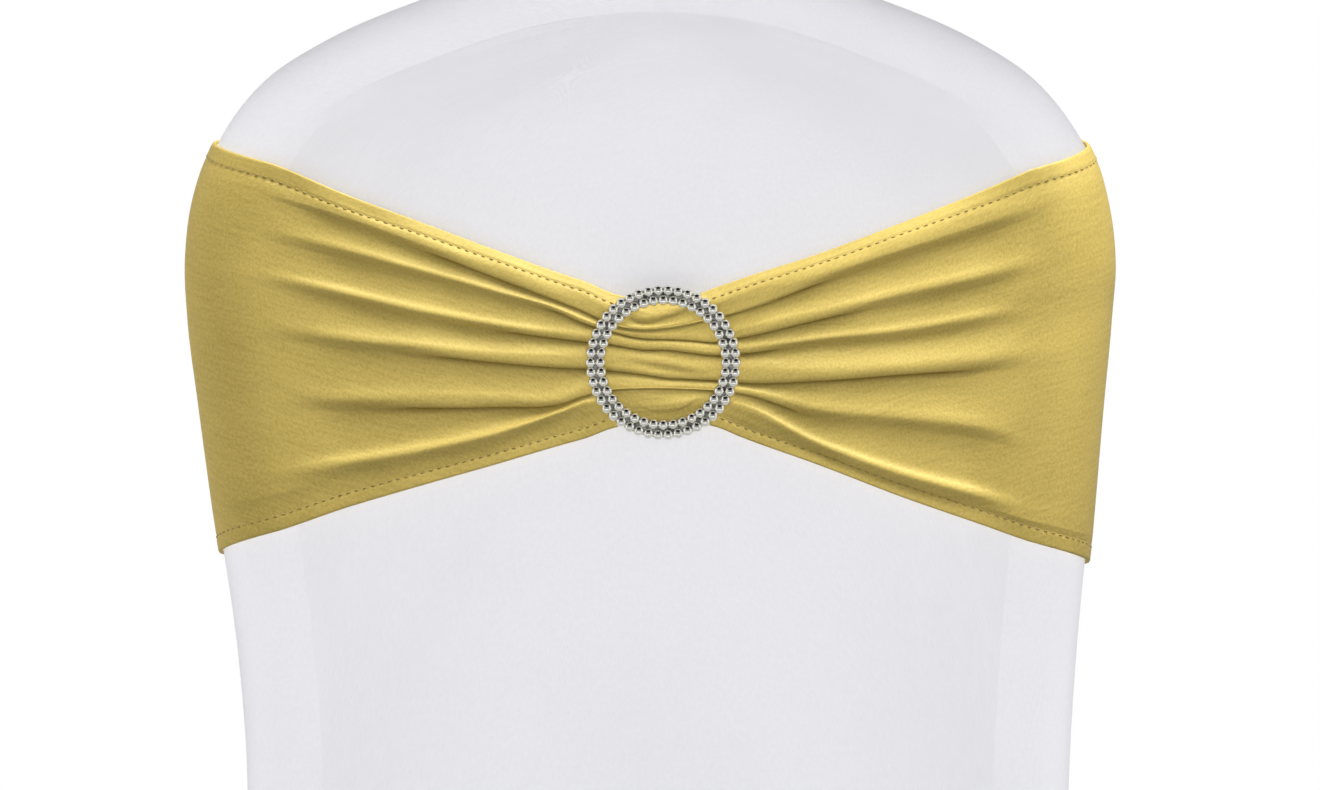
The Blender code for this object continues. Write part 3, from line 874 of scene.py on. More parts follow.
# %% How far the cloth stands off the back
LIFTS = (
    # distance from the buckle's centre, lift of the crests off the back, depth of the creases,
    # lift of the top hem: left, right, lift of the bottom hem
    (0, 4.0, 1.7, 1.0, 1.0, 3.6),
    (14, 4.0, 1.7, 1.0, 1.0, 3.6),
    (26, 3.5, 2.0, 0.8, 0.7, 2.8),
    (34, 3.7, 2.3, 0.9, 0.4, 2.2),
    (60, 5.2, 2.9, 1.9, 0.9, 3.1),
    (98, 5.0, 2.9, 1.9, 0.5, 2.9),
    (118, 4.6, 2.8, 2.6, 0.4, 2.6),
    (130, 4.2, 2.7, 2.5, 0.8, 2.4),
    (150, 3.2, 2.2, 2.6, 1.7, 1.9),
    (172, 1.9, 1.2, 1.6, 1.4, 1.2),
    (190, 0.8, 0.4, 0.5, 0.5, 0.5),
    (205, 0.2, 0.0, 0.1, 0.1, 0.1),
    (255, 0.2, 0.0, 0.1, 0.1, 0.1),
)
# Distance from the buckle's centre, and the most that the cloth can stand off the back there
PRESS_AT = ((16.5, 9.0), (20.6, 3.95), (34.0, 3.95), (38.0, 9.0))
PRESS_SOFT = 0.2
print("the crests stand off the back by up to", max(row[1] for row in LIFTS), "mm")

# %% [markdown]
# Inside the ring the cloth is drawn so tight that it also has a few fine wrinkles. They run along
# with the folds or at a slight slant to them. Each is a ridge beside a trough, so it shows as a
# bright line next to a dark one.

# %% Fine wrinkles in the buckle
WRINKLES = (
    # in the buckle: place of its middle along and above, fall per mm to the right, width, reach, size
    (1.0, -1.7, 0.18, 2.1, 15.0, 0.85),
    (9.0, -15.3, -0.08, 3.4, 11.0, -0.75),
    (-6.0, -15.0, 0.06, 0.9, 8.0, 0.14),
    (-9.0, 20.4, 0.25, 0.8, 4.0, 0.22),
)
WRINKLES_END = (16, 22)


def ease(value, start, end):
    """0 before start, 1 after end, and smooth between."""
    part = np.clip((value - start) / (end - start), 0, 1)
    return part * part * (3 - 2 * part)


def wrinkled(place, above):
    """What the fine wrinkles in the buckle add to the lift at some heights."""
    added = 0.0
    for middle, height, fall, width, reach, size in WRINKLES:
        along = place - middle
        off = (above - height + fall * along) / width
        added = added + size * off * np.exp(-off * off - (along / reach) ** 2)
    return added * (1 - ease(abs(place), *WRINKLES_END))


tightest = wrinkled(0.0, np.linspace(-20, 20, 81))
print("the wrinkles add", round(float(tightest.min()), 2), "to", round(float(tightest.max()), 2), "mm")

# %% [markdown]
# The tables meet in one list of lines, each known at the same places. Round the rims and across
# the front nothing is gathered, so there the lines only share out the height between the hems. The
# front has one set of shares for both sides, which lets the two ends of the band meet.

# %% All lines of the sash
def shares(lines):
    """Where the lines lie between the hems: 1 at the top hem, 0 at the bottom one."""
    return (lines - lines[-1]) / (lines[0] - lines[-1])


def spread(hems, share):
    """Heights of the lines between two hems, as a column."""
    return (hems[1] + share * (hems[0] - hems[1]))[:, None]


def sash_line_table():
    """Places along the sash, and every line's height at each of them."""
    left, right, middle = (
        np.array([row[1:] for row in table], float)
        for table in (LEFT_LINES, RIGHT_LINES, BUCKLE_LINES)
    )
    far_left, far_right = shares(left[:, -1]), shares(right[:, -1])
    front = spread(FRONT_HEMS, (far_left + far_right) / 2)
    heights = np.hstack([
        front, spread(LEFT_TURN, far_left), left[:, ::-1], middle,
        right, spread(RIGHT_TURN, far_right), front,
    ])
    left_places = [-at for at in reversed(LEFT_AT)]
    places = [-FRONT_AT, -TURN_AT, *left_places, *BUCKLE_AT, *RIGHT_AT, TURN_AT, FRONT_AT]
    return np.array(places, float), heights


PLACES, HEIGHTS = sash_line_table()
print("lines of the sash:", len(HEIGHTS), "each known at", len(PLACES), "places")

# %% [markdown]
# One more crease lies close under the top hem, and shows only inside the buckle, where it has a
# table of its own. Beyond the buckle it is flat, and its place is a share of the way from the hem
# to the first crest.
#
# The section at a column is a curve through a few points for each fold. Stretched folds are not
# round like waves: from a trough the cloth swings out in a hollow curve to a narrow crest, and
# drops back steeply below it. Where the crease is sharp, its bottom lies higher than the lip, so
# the cloth really is tucked under.

# %% Every line's height at a column
TOP_CREST_AT = 0.62
INSIDE_ENDS = (13, 18)


def inside_buckle(place):
    """1 inside the buckle, 0 beyond it."""
    return 1 - ease(abs(place), *INSIDE_ENDS)


def line_heights(places):
    """Heights of the hems, crests and creases, each read at its own place."""
    known = np.array([float(smooth(PLACES, line, at)) for line, at in zip(HEIGHTS, places)])
    top, inside = known[0] - known[1], inside_buckle(places[0])
    crest = known[0] - TOP_CREST_AT * top
    crease = known[0] - (1 + TOP_CREST_AT) / 2 * top
    crest += inside * (float(smooth(BUCKLE_AT, TOP_CREST, places[0])) - crest)
    crease += inside * (float(smooth(BUCKLE_AT, TOP_CREASE, places[0])) - crease)
    return np.concatenate([[known[0], crest, crease], known[1:]])


print("top hem at 60 mm to the right:", round(line_heights([60.0] * len(HEIGHTS))[0], 1), "mm up")

# %% [markdown]
# Going down a fold, its points are the crest, the lip of the crease, the crease's bottom, where the
# cloth comes out of it, the trough, the shoulder, the brow, and then the next crest. How sharp the
# crease is there, and how full the fold, move them up, down, in and out.

# %% Section of the sash at a column
def wobble(place, line):
    """A slow unevenness along a line, from -1 to 1."""
    return 0.6 * math.sin(place / 13.7 + 2.1 * line) + 0.4 * math.sin(place / 6.1 + 4.7 * line)


# Rows from each point of a fold to the next one, named after the point that they lead to
TO_LIP, TO_CREASE, TO_COMING_OUT, TO_TROUGH, TO_SHOULDER, TO_BROW, TO_CREST = 4, 3, 3, 3, 4, 3, 3
HEM_STEPS = 14
UNEVEN_CRESTS = 0.04
UNEVEN_CREASES = 0.12
TUCK = 1.3
# A crease is tucked in full where its fold is this high and this deep
TUCKED_HEIGHT = 2.4
TUCKED_DEPTH = 0.9
# A crease may go this far below where the cloth lies flat
DIP = 0.2


def at_place(place, row):
    """Reads a row of a table with five values along the sash."""
    _, far_left, left, middle, right, far_right = row
    return float(np.interp(place, SIDES, (far_left, left, middle, middle, right, far_right)))


def section_points(place, lines):
    """Height, lift and steps to the next one, for each point from the top hem to the bottom."""
    distance = abs(place)
    at, *columns = zip(*LIFTS)
    lift, depth, left_hem, right_hem, bottom_hem = (
        float(np.interp(distance, at, column)) for column in columns)
    top_hem = left_hem if place < 0 else right_hem
    inside = inside_buckle(place)
    crests, creases = [*lines[1:-1:2], lines[-1]], lines[2:-1:2]
    tops = [lift * at_place(place, row) * (1 + UNEVEN_CRESTS * wobble(place, number + 9))
            for number, row in enumerate(TOPS)]
    points = [(lines[0], top_hem, HEM_STEPS)]
    for number, crease in enumerate(creases):
        crest, after = crests[number], crests[number + 1]
        share = at_place(place, DEPTHS[number])
        sharp_to, gone_by = RUNS[number][1:3] if place < 0 else RUNS[number][3:5]
        shown = 1 - ease(distance, gone_by * FADING_FROM, gone_by)
        sharp = (1 - ease(distance, sharp_to * 0.8, sharp_to * 1.15 + 4)) * (sharp_to > 0)
        top, next_top = tops[number], tops[number + 1]
        uneven = 1 + UNEVEN_CREASES * wobble(place, number)
        down = min(depth * share * shown * uneven, top + DIP)
        low = top - down
        tuck = TUCK * sharp * min(1.0, (crest - crease) / TUCKED_HEIGHT, down / TUCKED_DEPTH)
        soft = 1 - sharp
        last = number + 1 == len(creases)
        full = 1.0 if last else at_place(place, FULLNESS[number + 1])
        lip = crease + 0.35 * soft * (crest - crease) + 0.4 * tuck
        fold = [
            (crest, top, TO_LIP),
            (lip, top - (0.3 + 0.25 * soft) * down, TO_CREASE),
            (crease + 1.2 * tuck, low + 0.1 * soft * down - 0.40 * sharp * down, TO_COMING_OUT),
        ]
        out = crease + 0.15 * tuck - 0.08 * soft * (crease - after)
        if last:
            fold.append((out, low + 0.2 * (bottom_hem - low), HEM_STEPS))
            points += fold
            break
        span, rise = out - after, next_top - low
        late = 0.82 - 0.17 * full - 0.15 * full**4
        high = 0.42 + 0.33 * full + 0.15 * full**4
        trough = 0.03 + 0.10 * full + 0.37 * full**4
        fold += [
            (out, low, TO_TROUGH),
            (out - (0.50 - 0.30 * full) * span, low + trough * rise, TO_SHOULDER),
            (out - late * span, low + high * rise, TO_BROW),
            (out - (1 + late) / 2 * span, low + (0.3 * high + 0.7) * rise, TO_CREST),
        ]
        if number == 0:
            parts = np.arange(len(fold)) / len(fold)
            flat = zip(crest + (after - crest) * parts, top + (next_top - top) * parts * (2 - parts))
            fold = [(inside * z + (1 - inside) * flat_z, inside * off + (1 - inside) * flat_off, steps)
                    for (z, off, steps), (flat_z, flat_off) in zip(fold, flat)]
        points += fold
    points.append((lines[-1], bottom_hem, 0))
    return np.array(points)


SECTION = section_points(60.0, line_heights([60.0] * len(HEIGHTS)))
print("section at 60 mm to the right:", len(SECTION), "points")

# %% [markdown]
# ### Hems of the sash
#
# Each hem is folded twice and stitched, so it is thicker than the cloth beside it. The needle
# draws it down into a groove. The hem is added to the section by the distance from the edge, and
# the roll of the edge is the same trick as on the cover.

# %% Relief of the hems
STITCH_NEAR = 3.9
STITCH_FAR = 5.6
HEM_RAISED = 0.15
HEM_GROOVE = 0.18
GROOVE_HALF = 0.75
PUCKER = 0.14
SASH_ROLL = (
    # past the edge, in from the face
    (0.32, -0.15),
    (0.52, -0.50),
    (0.50, -0.95),
    (0.10, -1.35),
    (-5.00, -1.45),
)


def stitch_from_edge(place):
    return STITCH_NEAR + (STITCH_FAR - STITCH_NEAR) * float(ease(abs(place), 40, 160))


def hem_relief(place, from_edge):
    """Height that a hem adds at some distances from its edge."""
    line = stitch_from_edge(place)
    pucker = PUCKER * math.sin(place / 0.62) * math.sin(place / 2.9 + 0.8)
    strip = HEM_RAISED * (1 - ease(from_edge, line - 0.9, line + 0.3))
    groove = (HEM_GROOVE + pucker) * np.exp(-(((from_edge - line) / GROOVE_HALF) ** 2))
    return (strip - groove) * ease(abs(place), 19, 30)


print("stitches lie", stitch_from_edge(40.0), "to", stitch_from_edge(160.0), "mm from the edge")

# %% [markdown]
# ### Columns of the sash
#
# The columns start at the middle of the front, go round the left rim, across the rear face and
# round the right rim, and meet again at the front. On the rear they lie closest together near the
# buckle, where the folds are narrowest.

# %% Columns and where their lines lie
RIM_TURN = RIM * math.pi / 2
STRAIGHT = 110.0
CORNER = 165.0
NEAR_BUCKLE = 46.0
NEAR_STRIDE = 1.0
FAR_STRIDE = 1.9
TO_CORNER = 22
RIM_COLUMNS = 16
FRONT_COLUMNS = 9


def sash_columns():
    """Place, where it is, and rim angle or part of the front, for each column."""
    near = np.arange(0.0, NEAR_BUCKLE, NEAR_STRIDE)
    middle = np.arange(NEAR_BUCKLE, STRAIGHT, FAR_STRIDE)
    far = np.linspace(STRAIGHT, CORNER, TO_CORNER + 1)[:-1]
    out = np.concatenate([near, middle, far])
    angles = np.linspace(math.pi / 2, -math.pi / 2, RIM_COLUMNS)
    round_rim = [(CORNER + RIM * (math.pi / 2 - angle), angle) for angle in angles]
    parts = np.linspace(0, 0.5, FRONT_COLUMNS + 1)[1:]
    columns = [(-FRONT_AT, "front", 1 - part) for part in reversed(parts)]
    columns += [(-place, "left", angle) for place, angle in reversed(round_rim)]
    columns += [(-place, "rear", None) for place in out[:0:-1]]
    columns += [(place, "rear", None) for place in out]
    columns += [(place, "right", angle) for place, angle in round_rim]
    columns += [(FRONT_AT, "front", part) for part in parts[:-1]]
    return columns


def rim_x(place, height):
    """X where the rim begins, on the side of a place."""
    side = LEFT if place < 0 else RIGHT
    return side.x_at(RIM, math.pi / 2, height)


def real_places(place, where, spot, above):
    """Distance along the sash at which each line really lies, from its height."""
    side = math.copysign(1.0, place)
    if where == "rear" and abs(place) <= STRAIGHT:
        return np.full(len(above), place)
    reach = np.abs(rim_x(place, RING_HEIGHT + above) - RING_X)
    if where == "rear":
        part = (abs(place) - STRAIGHT) / (CORNER - STRAIGHT)
        return side * (STRAIGHT + (reach - STRAIGHT) * part)
    if where == "front":
        part = ease(min(spot, 1 - spot), 0.0, 0.3)
        return side * (reach + 2 * RIM_TURN + (FRONT_AT - reach - 2 * RIM_TURN) * part)
    return side * (reach + RIM * (math.pi / 2 - spot))


def column_lines(place, where, spot):
    """Heights of all lines in a column. Three rounds settle height and place together."""
    places = np.full(len(HEIGHTS), place)
    for _ in range(3):
        above = np.array([float(smooth(PLACES, line, at)) for line, at in zip(HEIGHTS, places)])
        places = real_places(place, where, spot, above)
    return line_heights(places)


print("columns of the sash:", len(sash_columns()))

# %% [markdown]
# Each column is then bent to shape: its section gets the relief and the rolled edges of the hems,
# is pressed down under the ring, and is set off the back's face by its lift. The last column is
# the first one again, so the band closes.

# %% Grid of the sash
LEAST_SPAN = 0.08


def sash_section(place, lines):
    """Heights and lifts of every row at a place, rolled edges included."""
    heights, lifts, steps = section_points(place, lines).T
    steps = steps[:-1].astype(int)
    spans = np.maximum(np.hypot(np.diff(heights), np.diff(lifts)), LEAST_SPAN)
    at = np.concatenate([[0.0], np.cumsum(spans)])
    rows = np.repeat(at[:-1], steps) + np.repeat(spans / steps, steps) * np.concatenate([
        np.arange(count) for count in steps])
    rows = np.append(rows, at[-1])
    z, lift = smooth(at, heights, rows), smooth(at, lifts, rows)
    along = lengths(np.stack([z, lift], 1))
    lift = lift + hem_relief(place, along) + hem_relief(place, along[-1] - along)
    roll = np.array(SASH_ROLL)[::-1]
    z = np.concatenate([z[0] + roll[:, 0], z, z[-1] - roll[::-1, 0]])
    lift = np.concatenate([lift[0] + roll[:, 1], lift, lift[-1] + roll[::-1, 1]])
    return z, lift


def sash_column(place, where, spot):
    above, lift = sash_section(place, column_lines(place, where, spot))
    if where == "rear":
        lift = lift + wrinkled(place, above)
        press_at, press_lift = zip(*PRESS_AT)
        over = (lift - np.interp(np.hypot(place, above), press_at, press_lift)) / PRESS_SOFT
        lift = lift - PRESS_SOFT * np.log1p(np.exp(over))
    depth = RIM + SASH_GAP + lift + SASH_OUT
    z = RING_HEIGHT + above
    if where == "rear":
        straight = RING_X + np.clip(place, -STRAIGHT, STRAIGHT)
        beyond = max(0.0, (abs(place) - STRAIGHT) / (CORNER - STRAIGHT))
        x, y = straight + (rim_x(place, z) - straight) * beyond, -depth
    elif where == "front":
        x, y = rim_x(1, z) + (rim_x(-1, z) - rim_x(1, z)) * spot, depth
    else:
        side = LEFT if place < 0 else RIGHT
        x = np.array([side.x_at(one, spot, height) for one, height in zip(depth, z)])
        y = -depth * math.sin(spot)
    return leaned(np.stack([x, y, z], 1))


SASH_ROWS = np.stack([sash_column(*column) for column in sash_columns()], 1)
SASH_ROWS = np.concatenate([SASH_ROWS, SASH_ROWS[:, :1]], 1)
print("sash grid:", SASH_ROWS.shape[:2], "quads:", SASH_ROWS.shape[0] * SASH_ROWS.shape[1])

# %% [markdown]
# The band is one sheet of thin satin knit.

# %% Make the sash
SASH = cloth("gold_sash", SASH_ROWS, GOLD_SATIN, (0, -1, 0), SASH_CLOTH)
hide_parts("sash")
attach(SASH, "root")
print("sash faces:", len(SASH.data.polygons))

# %% [markdown]
# ## The buckle
#
# The buckle is a moulded ring with a bar behind it. The ring's section is turned round its axis,
# which is what a Screw modifier or a spin does; a short loop over the angles does the same and
# closes the ring without doubled points. Two rows of stones sit in it. The inner row has fewer, so
# the two rows fall in and out of step six times round the ring.

# %% Shapes of the ring and the bar
RING_STANDOFF = 6.0
RING_STEPS = 128
RING_PROFILE = (
    # distance from the axis, height
    (24.2, 0.3),
    (24.6, 0.0),
    (30.4, 0.0),
    (30.9, 0.3),
    (31.0, 1.5),
    (30.7, 2.2),
    (30.05, 1.9),
    (28.6, 2.2),
    (27.9, 2.4),
    (27.2, 2.2),
    (25.7, 1.9),
    (24.4, 2.0),
    (24.1, 1.4),
)
BAR_WIDTH = 5.0
BAR_THICKNESS = 1.8
POST_INSIDE = 26.2
POST_OUTSIDE = 29.6
POST_SUNK = 1.2


def ring_frame():
    """Moves a piece made round the Z axis to the buckle's place, with its axis along -Y."""
    (low, low_y), (high, high_y) = REAR_FACE[-2:]
    lean = math.atan2(high_y - low_y, high - low)
    place = (RING_X * MM, (float(rear_y(RING_HEIGHT)) - RING_STANDOFF) * MM, RING_HEIGHT * MM)
    return Matrix.Translation(place) @ Matrix.Rotation(math.pi / 2 - lean, 4, "X")


def turned_ring():
    """Points and faces of the ring round Z, with heights up the axis."""
    turns = np.linspace(0, 2 * math.pi, RING_STEPS, endpoint=False)
    points = [(r * math.cos(t), r * math.sin(t), h) for t in turns for r, h in RING_PROFILE]
    count = len(RING_PROFILE)
    faces = []
    for step in range(RING_STEPS):
        here, there = step * count, (step + 1) % RING_STEPS * count
        for spot in range(count):
            after = (spot + 1) % count
            faces.append([here + spot, there + spot, there + after, here + after])
    return points, faces


def bar_points():
    """The bar behind the cloth and its two posts, as one section pushed through its width."""
    back = -RING_STANDOFF + SASH_GAP
    half = [
        (POST_OUTSIDE, back),
        (POST_OUTSIDE, POST_SUNK),
        (POST_INSIDE, POST_SUNK),
        (POST_INSIDE, back + BAR_THICKNESS),
    ]
    section = [*half, *[(-y, z) for y, z in reversed(half)]]
    count = len(section)
    points = [(x, y, z) for x in (-BAR_WIDTH / 2, BAR_WIDTH / 2) for y, z in section]
    faces = [list(range(count)), list(range(count, 2 * count))]
    for spot in range(count):
        after = (spot + 1) % count
        faces.append([spot, after, count + after, count + spot])
    return points, faces


print("ring:", 2 * max(r for r, _ in RING_PROFILE), "mm across without its stones")

# %% [markdown]
# Both are made round the Z axis and then carried to the buckle's place by one matrix, which leans
# them with the back. Edges sharper than 40 degrees stay sharp, and the bar gets a small bevel,
# because a moulded edge is never quite sharp.

# %% Make the ring and the bar
SHARP_FROM = 40.0
BAR_BEVEL = 0.3


def metal(name, points, faces, paint):
    mesh = bpy.data.meshes.new(name)
    mesh.from_pydata((np.asarray(points, float) * MM).tolist(), [], faces)
    work = bmesh.new()
    work.from_mesh(mesh)
    bmesh.ops.recalc_face_normals(work, faces=work.faces)
    work.to_mesh(mesh)
    work.free()
    mesh.transform(ring_frame())
    mesh.shade_smooth()
    mesh.set_sharp_from_angle(angle=math.radians(SHARP_FROM))
    mesh.materials.append(paint)
    return new_object(name, mesh)


RING = metal("buckle_ring_setting", *turned_ring(), SILVER_SETTING)
BAR = metal("buckle_bar", *bar_points(), SILVER_SETTING)
bevel = BAR.modifiers.new("soft edges", "BEVEL")
bevel.width = BAR_BEVEL * MM
bevel.segments = 2
for piece in (RING, BAR):
    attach(piece, "root")
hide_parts("buckle_ring")
print("ring faces:", len(RING.data.polygons))

# %% [markdown]
# ### Stones
#
# Eighty-six equal stones in two circles is a job for Geometry Nodes: one stone, put on the points
# of two mesh circles. The tree takes the counts and radii as inputs, and a fixed seed tilts each
# stone a little, because hand-set stones never sit quite level.

# %% A helper for node trees
class Tree:
    """A Geometry Nodes tree under construction, with named inputs."""

    def __init__(self, name):
        self.group = bpy.data.node_groups.new(name, "GeometryNodeTree")
        self.ends = {}
        self.socket("Geometry", "NodeSocketGeometry", "INPUT")
        self.socket("Geometry", "NodeSocketGeometry", "OUTPUT")
        self.start = self.group.nodes.new("NodeGroupInput")
        self.end = self.group.nodes.new("NodeGroupOutput")

    def socket(self, name, kind, way="INPUT"):
        made = self.group.interface.new_socket(name=name, in_out=way, socket_type=kind)
        self.ends[name] = made.identifier
        return made

    def add(self, kind, settings=(), **inputs):
        node = self.group.nodes.new(kind)
        for key, value in dict(settings).items():
            setattr(node, key, value)
        for key, value in inputs.items():
            socket = node.inputs[key.replace("_", " ")]
            if isinstance(value, bpy.types.NodeSocket):
                self.group.links.new(value, socket)
            else:
                socket.default_value = value
        return node

    def given(self, name):
        return self.start.outputs[name]

    def join(self, output, socket):
        self.group.links.new(output, socket)

    def made_from(self, mesh, values, name):
        """Runs the tree on a mesh and returns the plain mesh that it makes."""
        carrier = new_object(name, mesh)
        nodes = carrier.modifiers.new(name, "NODES")
        nodes.node_group = self.group
        for key, value in values.items():
            nodes[self.ends[key]] = value
        graph = bpy.context.evaluated_depsgraph_get()
        made = bpy.data.meshes.new_from_object(carrier.evaluated_get(graph))
        carrier.modifiers.remove(nodes)
        bpy.data.objects.remove(carrier, do_unlink=True)
        return made


print("a tree can use:", *[name for name in vars(Tree) if not name.startswith("_")])

# %% [markdown]
# The tree joins the two circles, puts the stone on each of their points with a small random tilt,
# and ends by making the copies real and giving them their finish.

# %% Tree that sets the stones
def stone_tree():
    tree = Tree("stones in two circles")
    for name, kind in (
        ("Stone", "NodeSocketObject"),
        ("Outer count", "NodeSocketInt"),
        ("Outer radius", "NodeSocketFloat"),
        ("Inner count", "NodeSocketInt"),
        ("Inner radius", "NodeSocketFloat"),
        ("Tilt", "NodeSocketFloat"),
        ("Seed", "NodeSocketInt"),
        ("Finish", "NodeSocketMaterial"),
    ):
        tree.socket(name, kind)
    both = tree.add("GeometryNodeJoinGeometry")
    for row in ("Outer", "Inner"):
        circle = tree.add("GeometryNodeMeshCircle", Vertices=tree.given(row + " count"),
                          Radius=tree.given(row + " radius"))
        tree.join(circle.outputs["Mesh"], both.inputs["Geometry"])
    stone = tree.add("GeometryNodeObjectInfo", Object=tree.given("Stone"))
    low = tree.add("ShaderNodeMath", {"operation": "MULTIPLY"})
    tree.join(tree.given("Tilt"), low.inputs[0])
    low.inputs[1].default_value = -1.0
    tilt = tree.add("FunctionNodeRandomValue", {"data_type": "FLOAT_VECTOR"})
    tree.join(low.outputs[0], tilt.inputs[0])
    tree.join(tree.given("Tilt"), tilt.inputs[1])
    tree.join(tree.given("Seed"), next(s for s in tilt.inputs if s.name == "Seed" and s.enabled))
    placed = tree.add("GeometryNodeInstanceOnPoints", Points=both.outputs["Geometry"],
                      Instance=stone.outputs["Geometry"])
    tree.join(tilt.outputs[0], placed.inputs["Rotation"])
    plain = tree.add("GeometryNodeRealizeInstances", Geometry=placed.outputs["Instances"])
    painted = tree.add("GeometryNodeSetMaterial", Geometry=plain.outputs["Geometry"],
                       Material=tree.given("Finish"))
    tree.join(painted.outputs["Geometry"], tree.end.inputs["Geometry"])
    return tree


STONE_SETTER = stone_tree()
print("the stones' tree takes:", *STONE_SETTER.ends)

# %% [markdown]
# One stone is a short collar with a domed face above, in one mesh with a dozen sides. Its single
# facets are left out: eighty-six of them are seen from far off, so they are shaded smooth, and the
# small tilt of each gives it its own glints.

# %% Set the stones
STONE_SIDES = 12
STONE_PROFILE = (
    # distance from the stone's axis, height: the collar, then the dome
    (2.10, 0.0),
    (2.26, 0.7),
    (2.20, 1.15),
    (1.86, 1.75),
    (1.14, 2.25),
)
STONE_TOP = 2.50
STONE_SEAT = 1.7
OUTER_STONES, OUTER_ROW = 46, 29.8
INNER_STONES, INNER_ROW = 40, 25.65
STONE_SHARP_FROM = 60.0
STONE_TILT = 5.0


def stone_mesh():
    turns = np.linspace(0, 2 * math.pi, STONE_SIDES, endpoint=False)
    points = [(r * math.cos(t), r * math.sin(t), h) for r, h in STONE_PROFILE for t in turns]
    faces = []
    for level in range(len(STONE_PROFILE) - 1):
        for side in range(STONE_SIDES):
            here, there = (level * STONE_SIDES + at % STONE_SIDES for at in (side, side + 1))
            faces.append([here, there, there + STONE_SIDES, here + STONE_SIDES])
    top = len(points)
    rim = (len(STONE_PROFILE) - 1) * STONE_SIDES
    faces += [[rim + side, rim + (side + 1) % STONE_SIDES, top] for side in range(STONE_SIDES)]
    faces.append(list(reversed(range(STONE_SIDES))))
    points.append((0.0, 0.0, STONE_TOP))
    mesh = bpy.data.meshes.new("stone")
    mesh.from_pydata((np.array(points) * MM).tolist(), [], faces)
    mesh.shade_smooth()
    mesh.set_sharp_from_angle(angle=math.radians(STONE_SHARP_FROM))
    return mesh


stone = new_object("stone", stone_mesh())
set_stones = STONE_SETTER.made_from(
    bpy.data.meshes.new("no points"),
    {
        "Stone": stone,
        "Outer count": OUTER_STONES,
        "Outer radius": OUTER_ROW * MM,
        "Inner count": INNER_STONES,
        "Inner radius": INNER_ROW * MM,
        "Tilt": math.radians(STONE_TILT),
        "Seed": 7,
        "Finish": SILVER_STONES,
    },
    "stones",
)
bpy.data.objects.remove(stone, do_unlink=True)
set_stones.transform(ring_frame() @ Matrix.Translation((0, 0, STONE_SEAT * MM)))
STONES = new_object("buckle_stones", set_stones)
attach(STONES, "root")
print("stones:", OUTER_STONES + INNER_STONES, "faces:", len(set_stones.polygons))

# %% [markdown]
# ## Stitches
#
# A row of stitches is a short loop of thread repeated along a line on the cloth. A second tree
# does it: the line is a string of points that know which way the cloth faces, it is resampled at
# the pitch of the stitches, and one is laid on every point, along the line and off the cloth.

# %% Tree that sews a line
def stitch_tree():
    tree = Tree("stitches along a line")
    for name, kind in (
        ("Stitch", "NodeSocketObject"),
        ("Pitch", "NodeSocketFloat"),
        ("Thread", "NodeSocketMaterial"),
    ):
        tree.socket(name, kind)
    line = tree.add("GeometryNodeMeshToCurve", Mesh=tree.given("Geometry"))
    spaced = tree.add("GeometryNodeResampleCurve", {"mode": "LENGTH"}, Curve=line.outputs["Curve"])
    tree.join(tree.given("Pitch"), spaced.inputs["Length"])
    facing = tree.add(
        "GeometryNodeInputNamedAttribute", {"data_type": "FLOAT_VECTOR"}, Name="facing")
    tangent = tree.add("GeometryNodeInputTangent")
    along = tree.add("FunctionNodeAlignRotationToVector", {"axis": "X"})
    tree.join(tangent.outputs[0], along.inputs["Vector"])
    upright = tree.add("FunctionNodeAlignRotationToVector", {"axis": "Z", "pivot_axis": "X"})
    tree.join(along.outputs[0], upright.inputs["Rotation"])
    tree.join(facing.outputs["Attribute"], upright.inputs["Vector"])
    stitch = tree.add("GeometryNodeObjectInfo", Object=tree.given("Stitch"))
    sewn = tree.add("GeometryNodeInstanceOnPoints", Points=spaced.outputs["Curve"],
                    Instance=stitch.outputs["Geometry"])
    tree.join(upright.outputs[0], sewn.inputs["Rotation"])
    plain = tree.add("GeometryNodeRealizeInstances", Geometry=sewn.outputs["Instances"])
    painted = tree.add("GeometryNodeSetMaterial", Geometry=plain.outputs["Geometry"],
                       Material=tree.given("Thread"))
    tree.join(painted.outputs["Geometry"], tree.end.inputs["Geometry"])
    return tree


SEWING = stitch_tree()
print("the sewing tree takes:", *SEWING.ends)

# %% [markdown]
# A stitch shows as a short length of thread, round in section, that comes out of the cloth at one
# end and goes back in at the other. It could be a curve with a bevel. A small mesh tapers at its
# ends and keeps the count of faces in hand, as there are over twelve hundred of them.

# %% One stitch
STITCH_SIDES = 6
STITCH_STEPS = 6
# How far a stitch stands off the cloth, and how far its ends dip in, as parts of its thickness
STITCH_STANDS, STITCH_DIPS = 0.42, 0.35
STITCH_END = 0.01


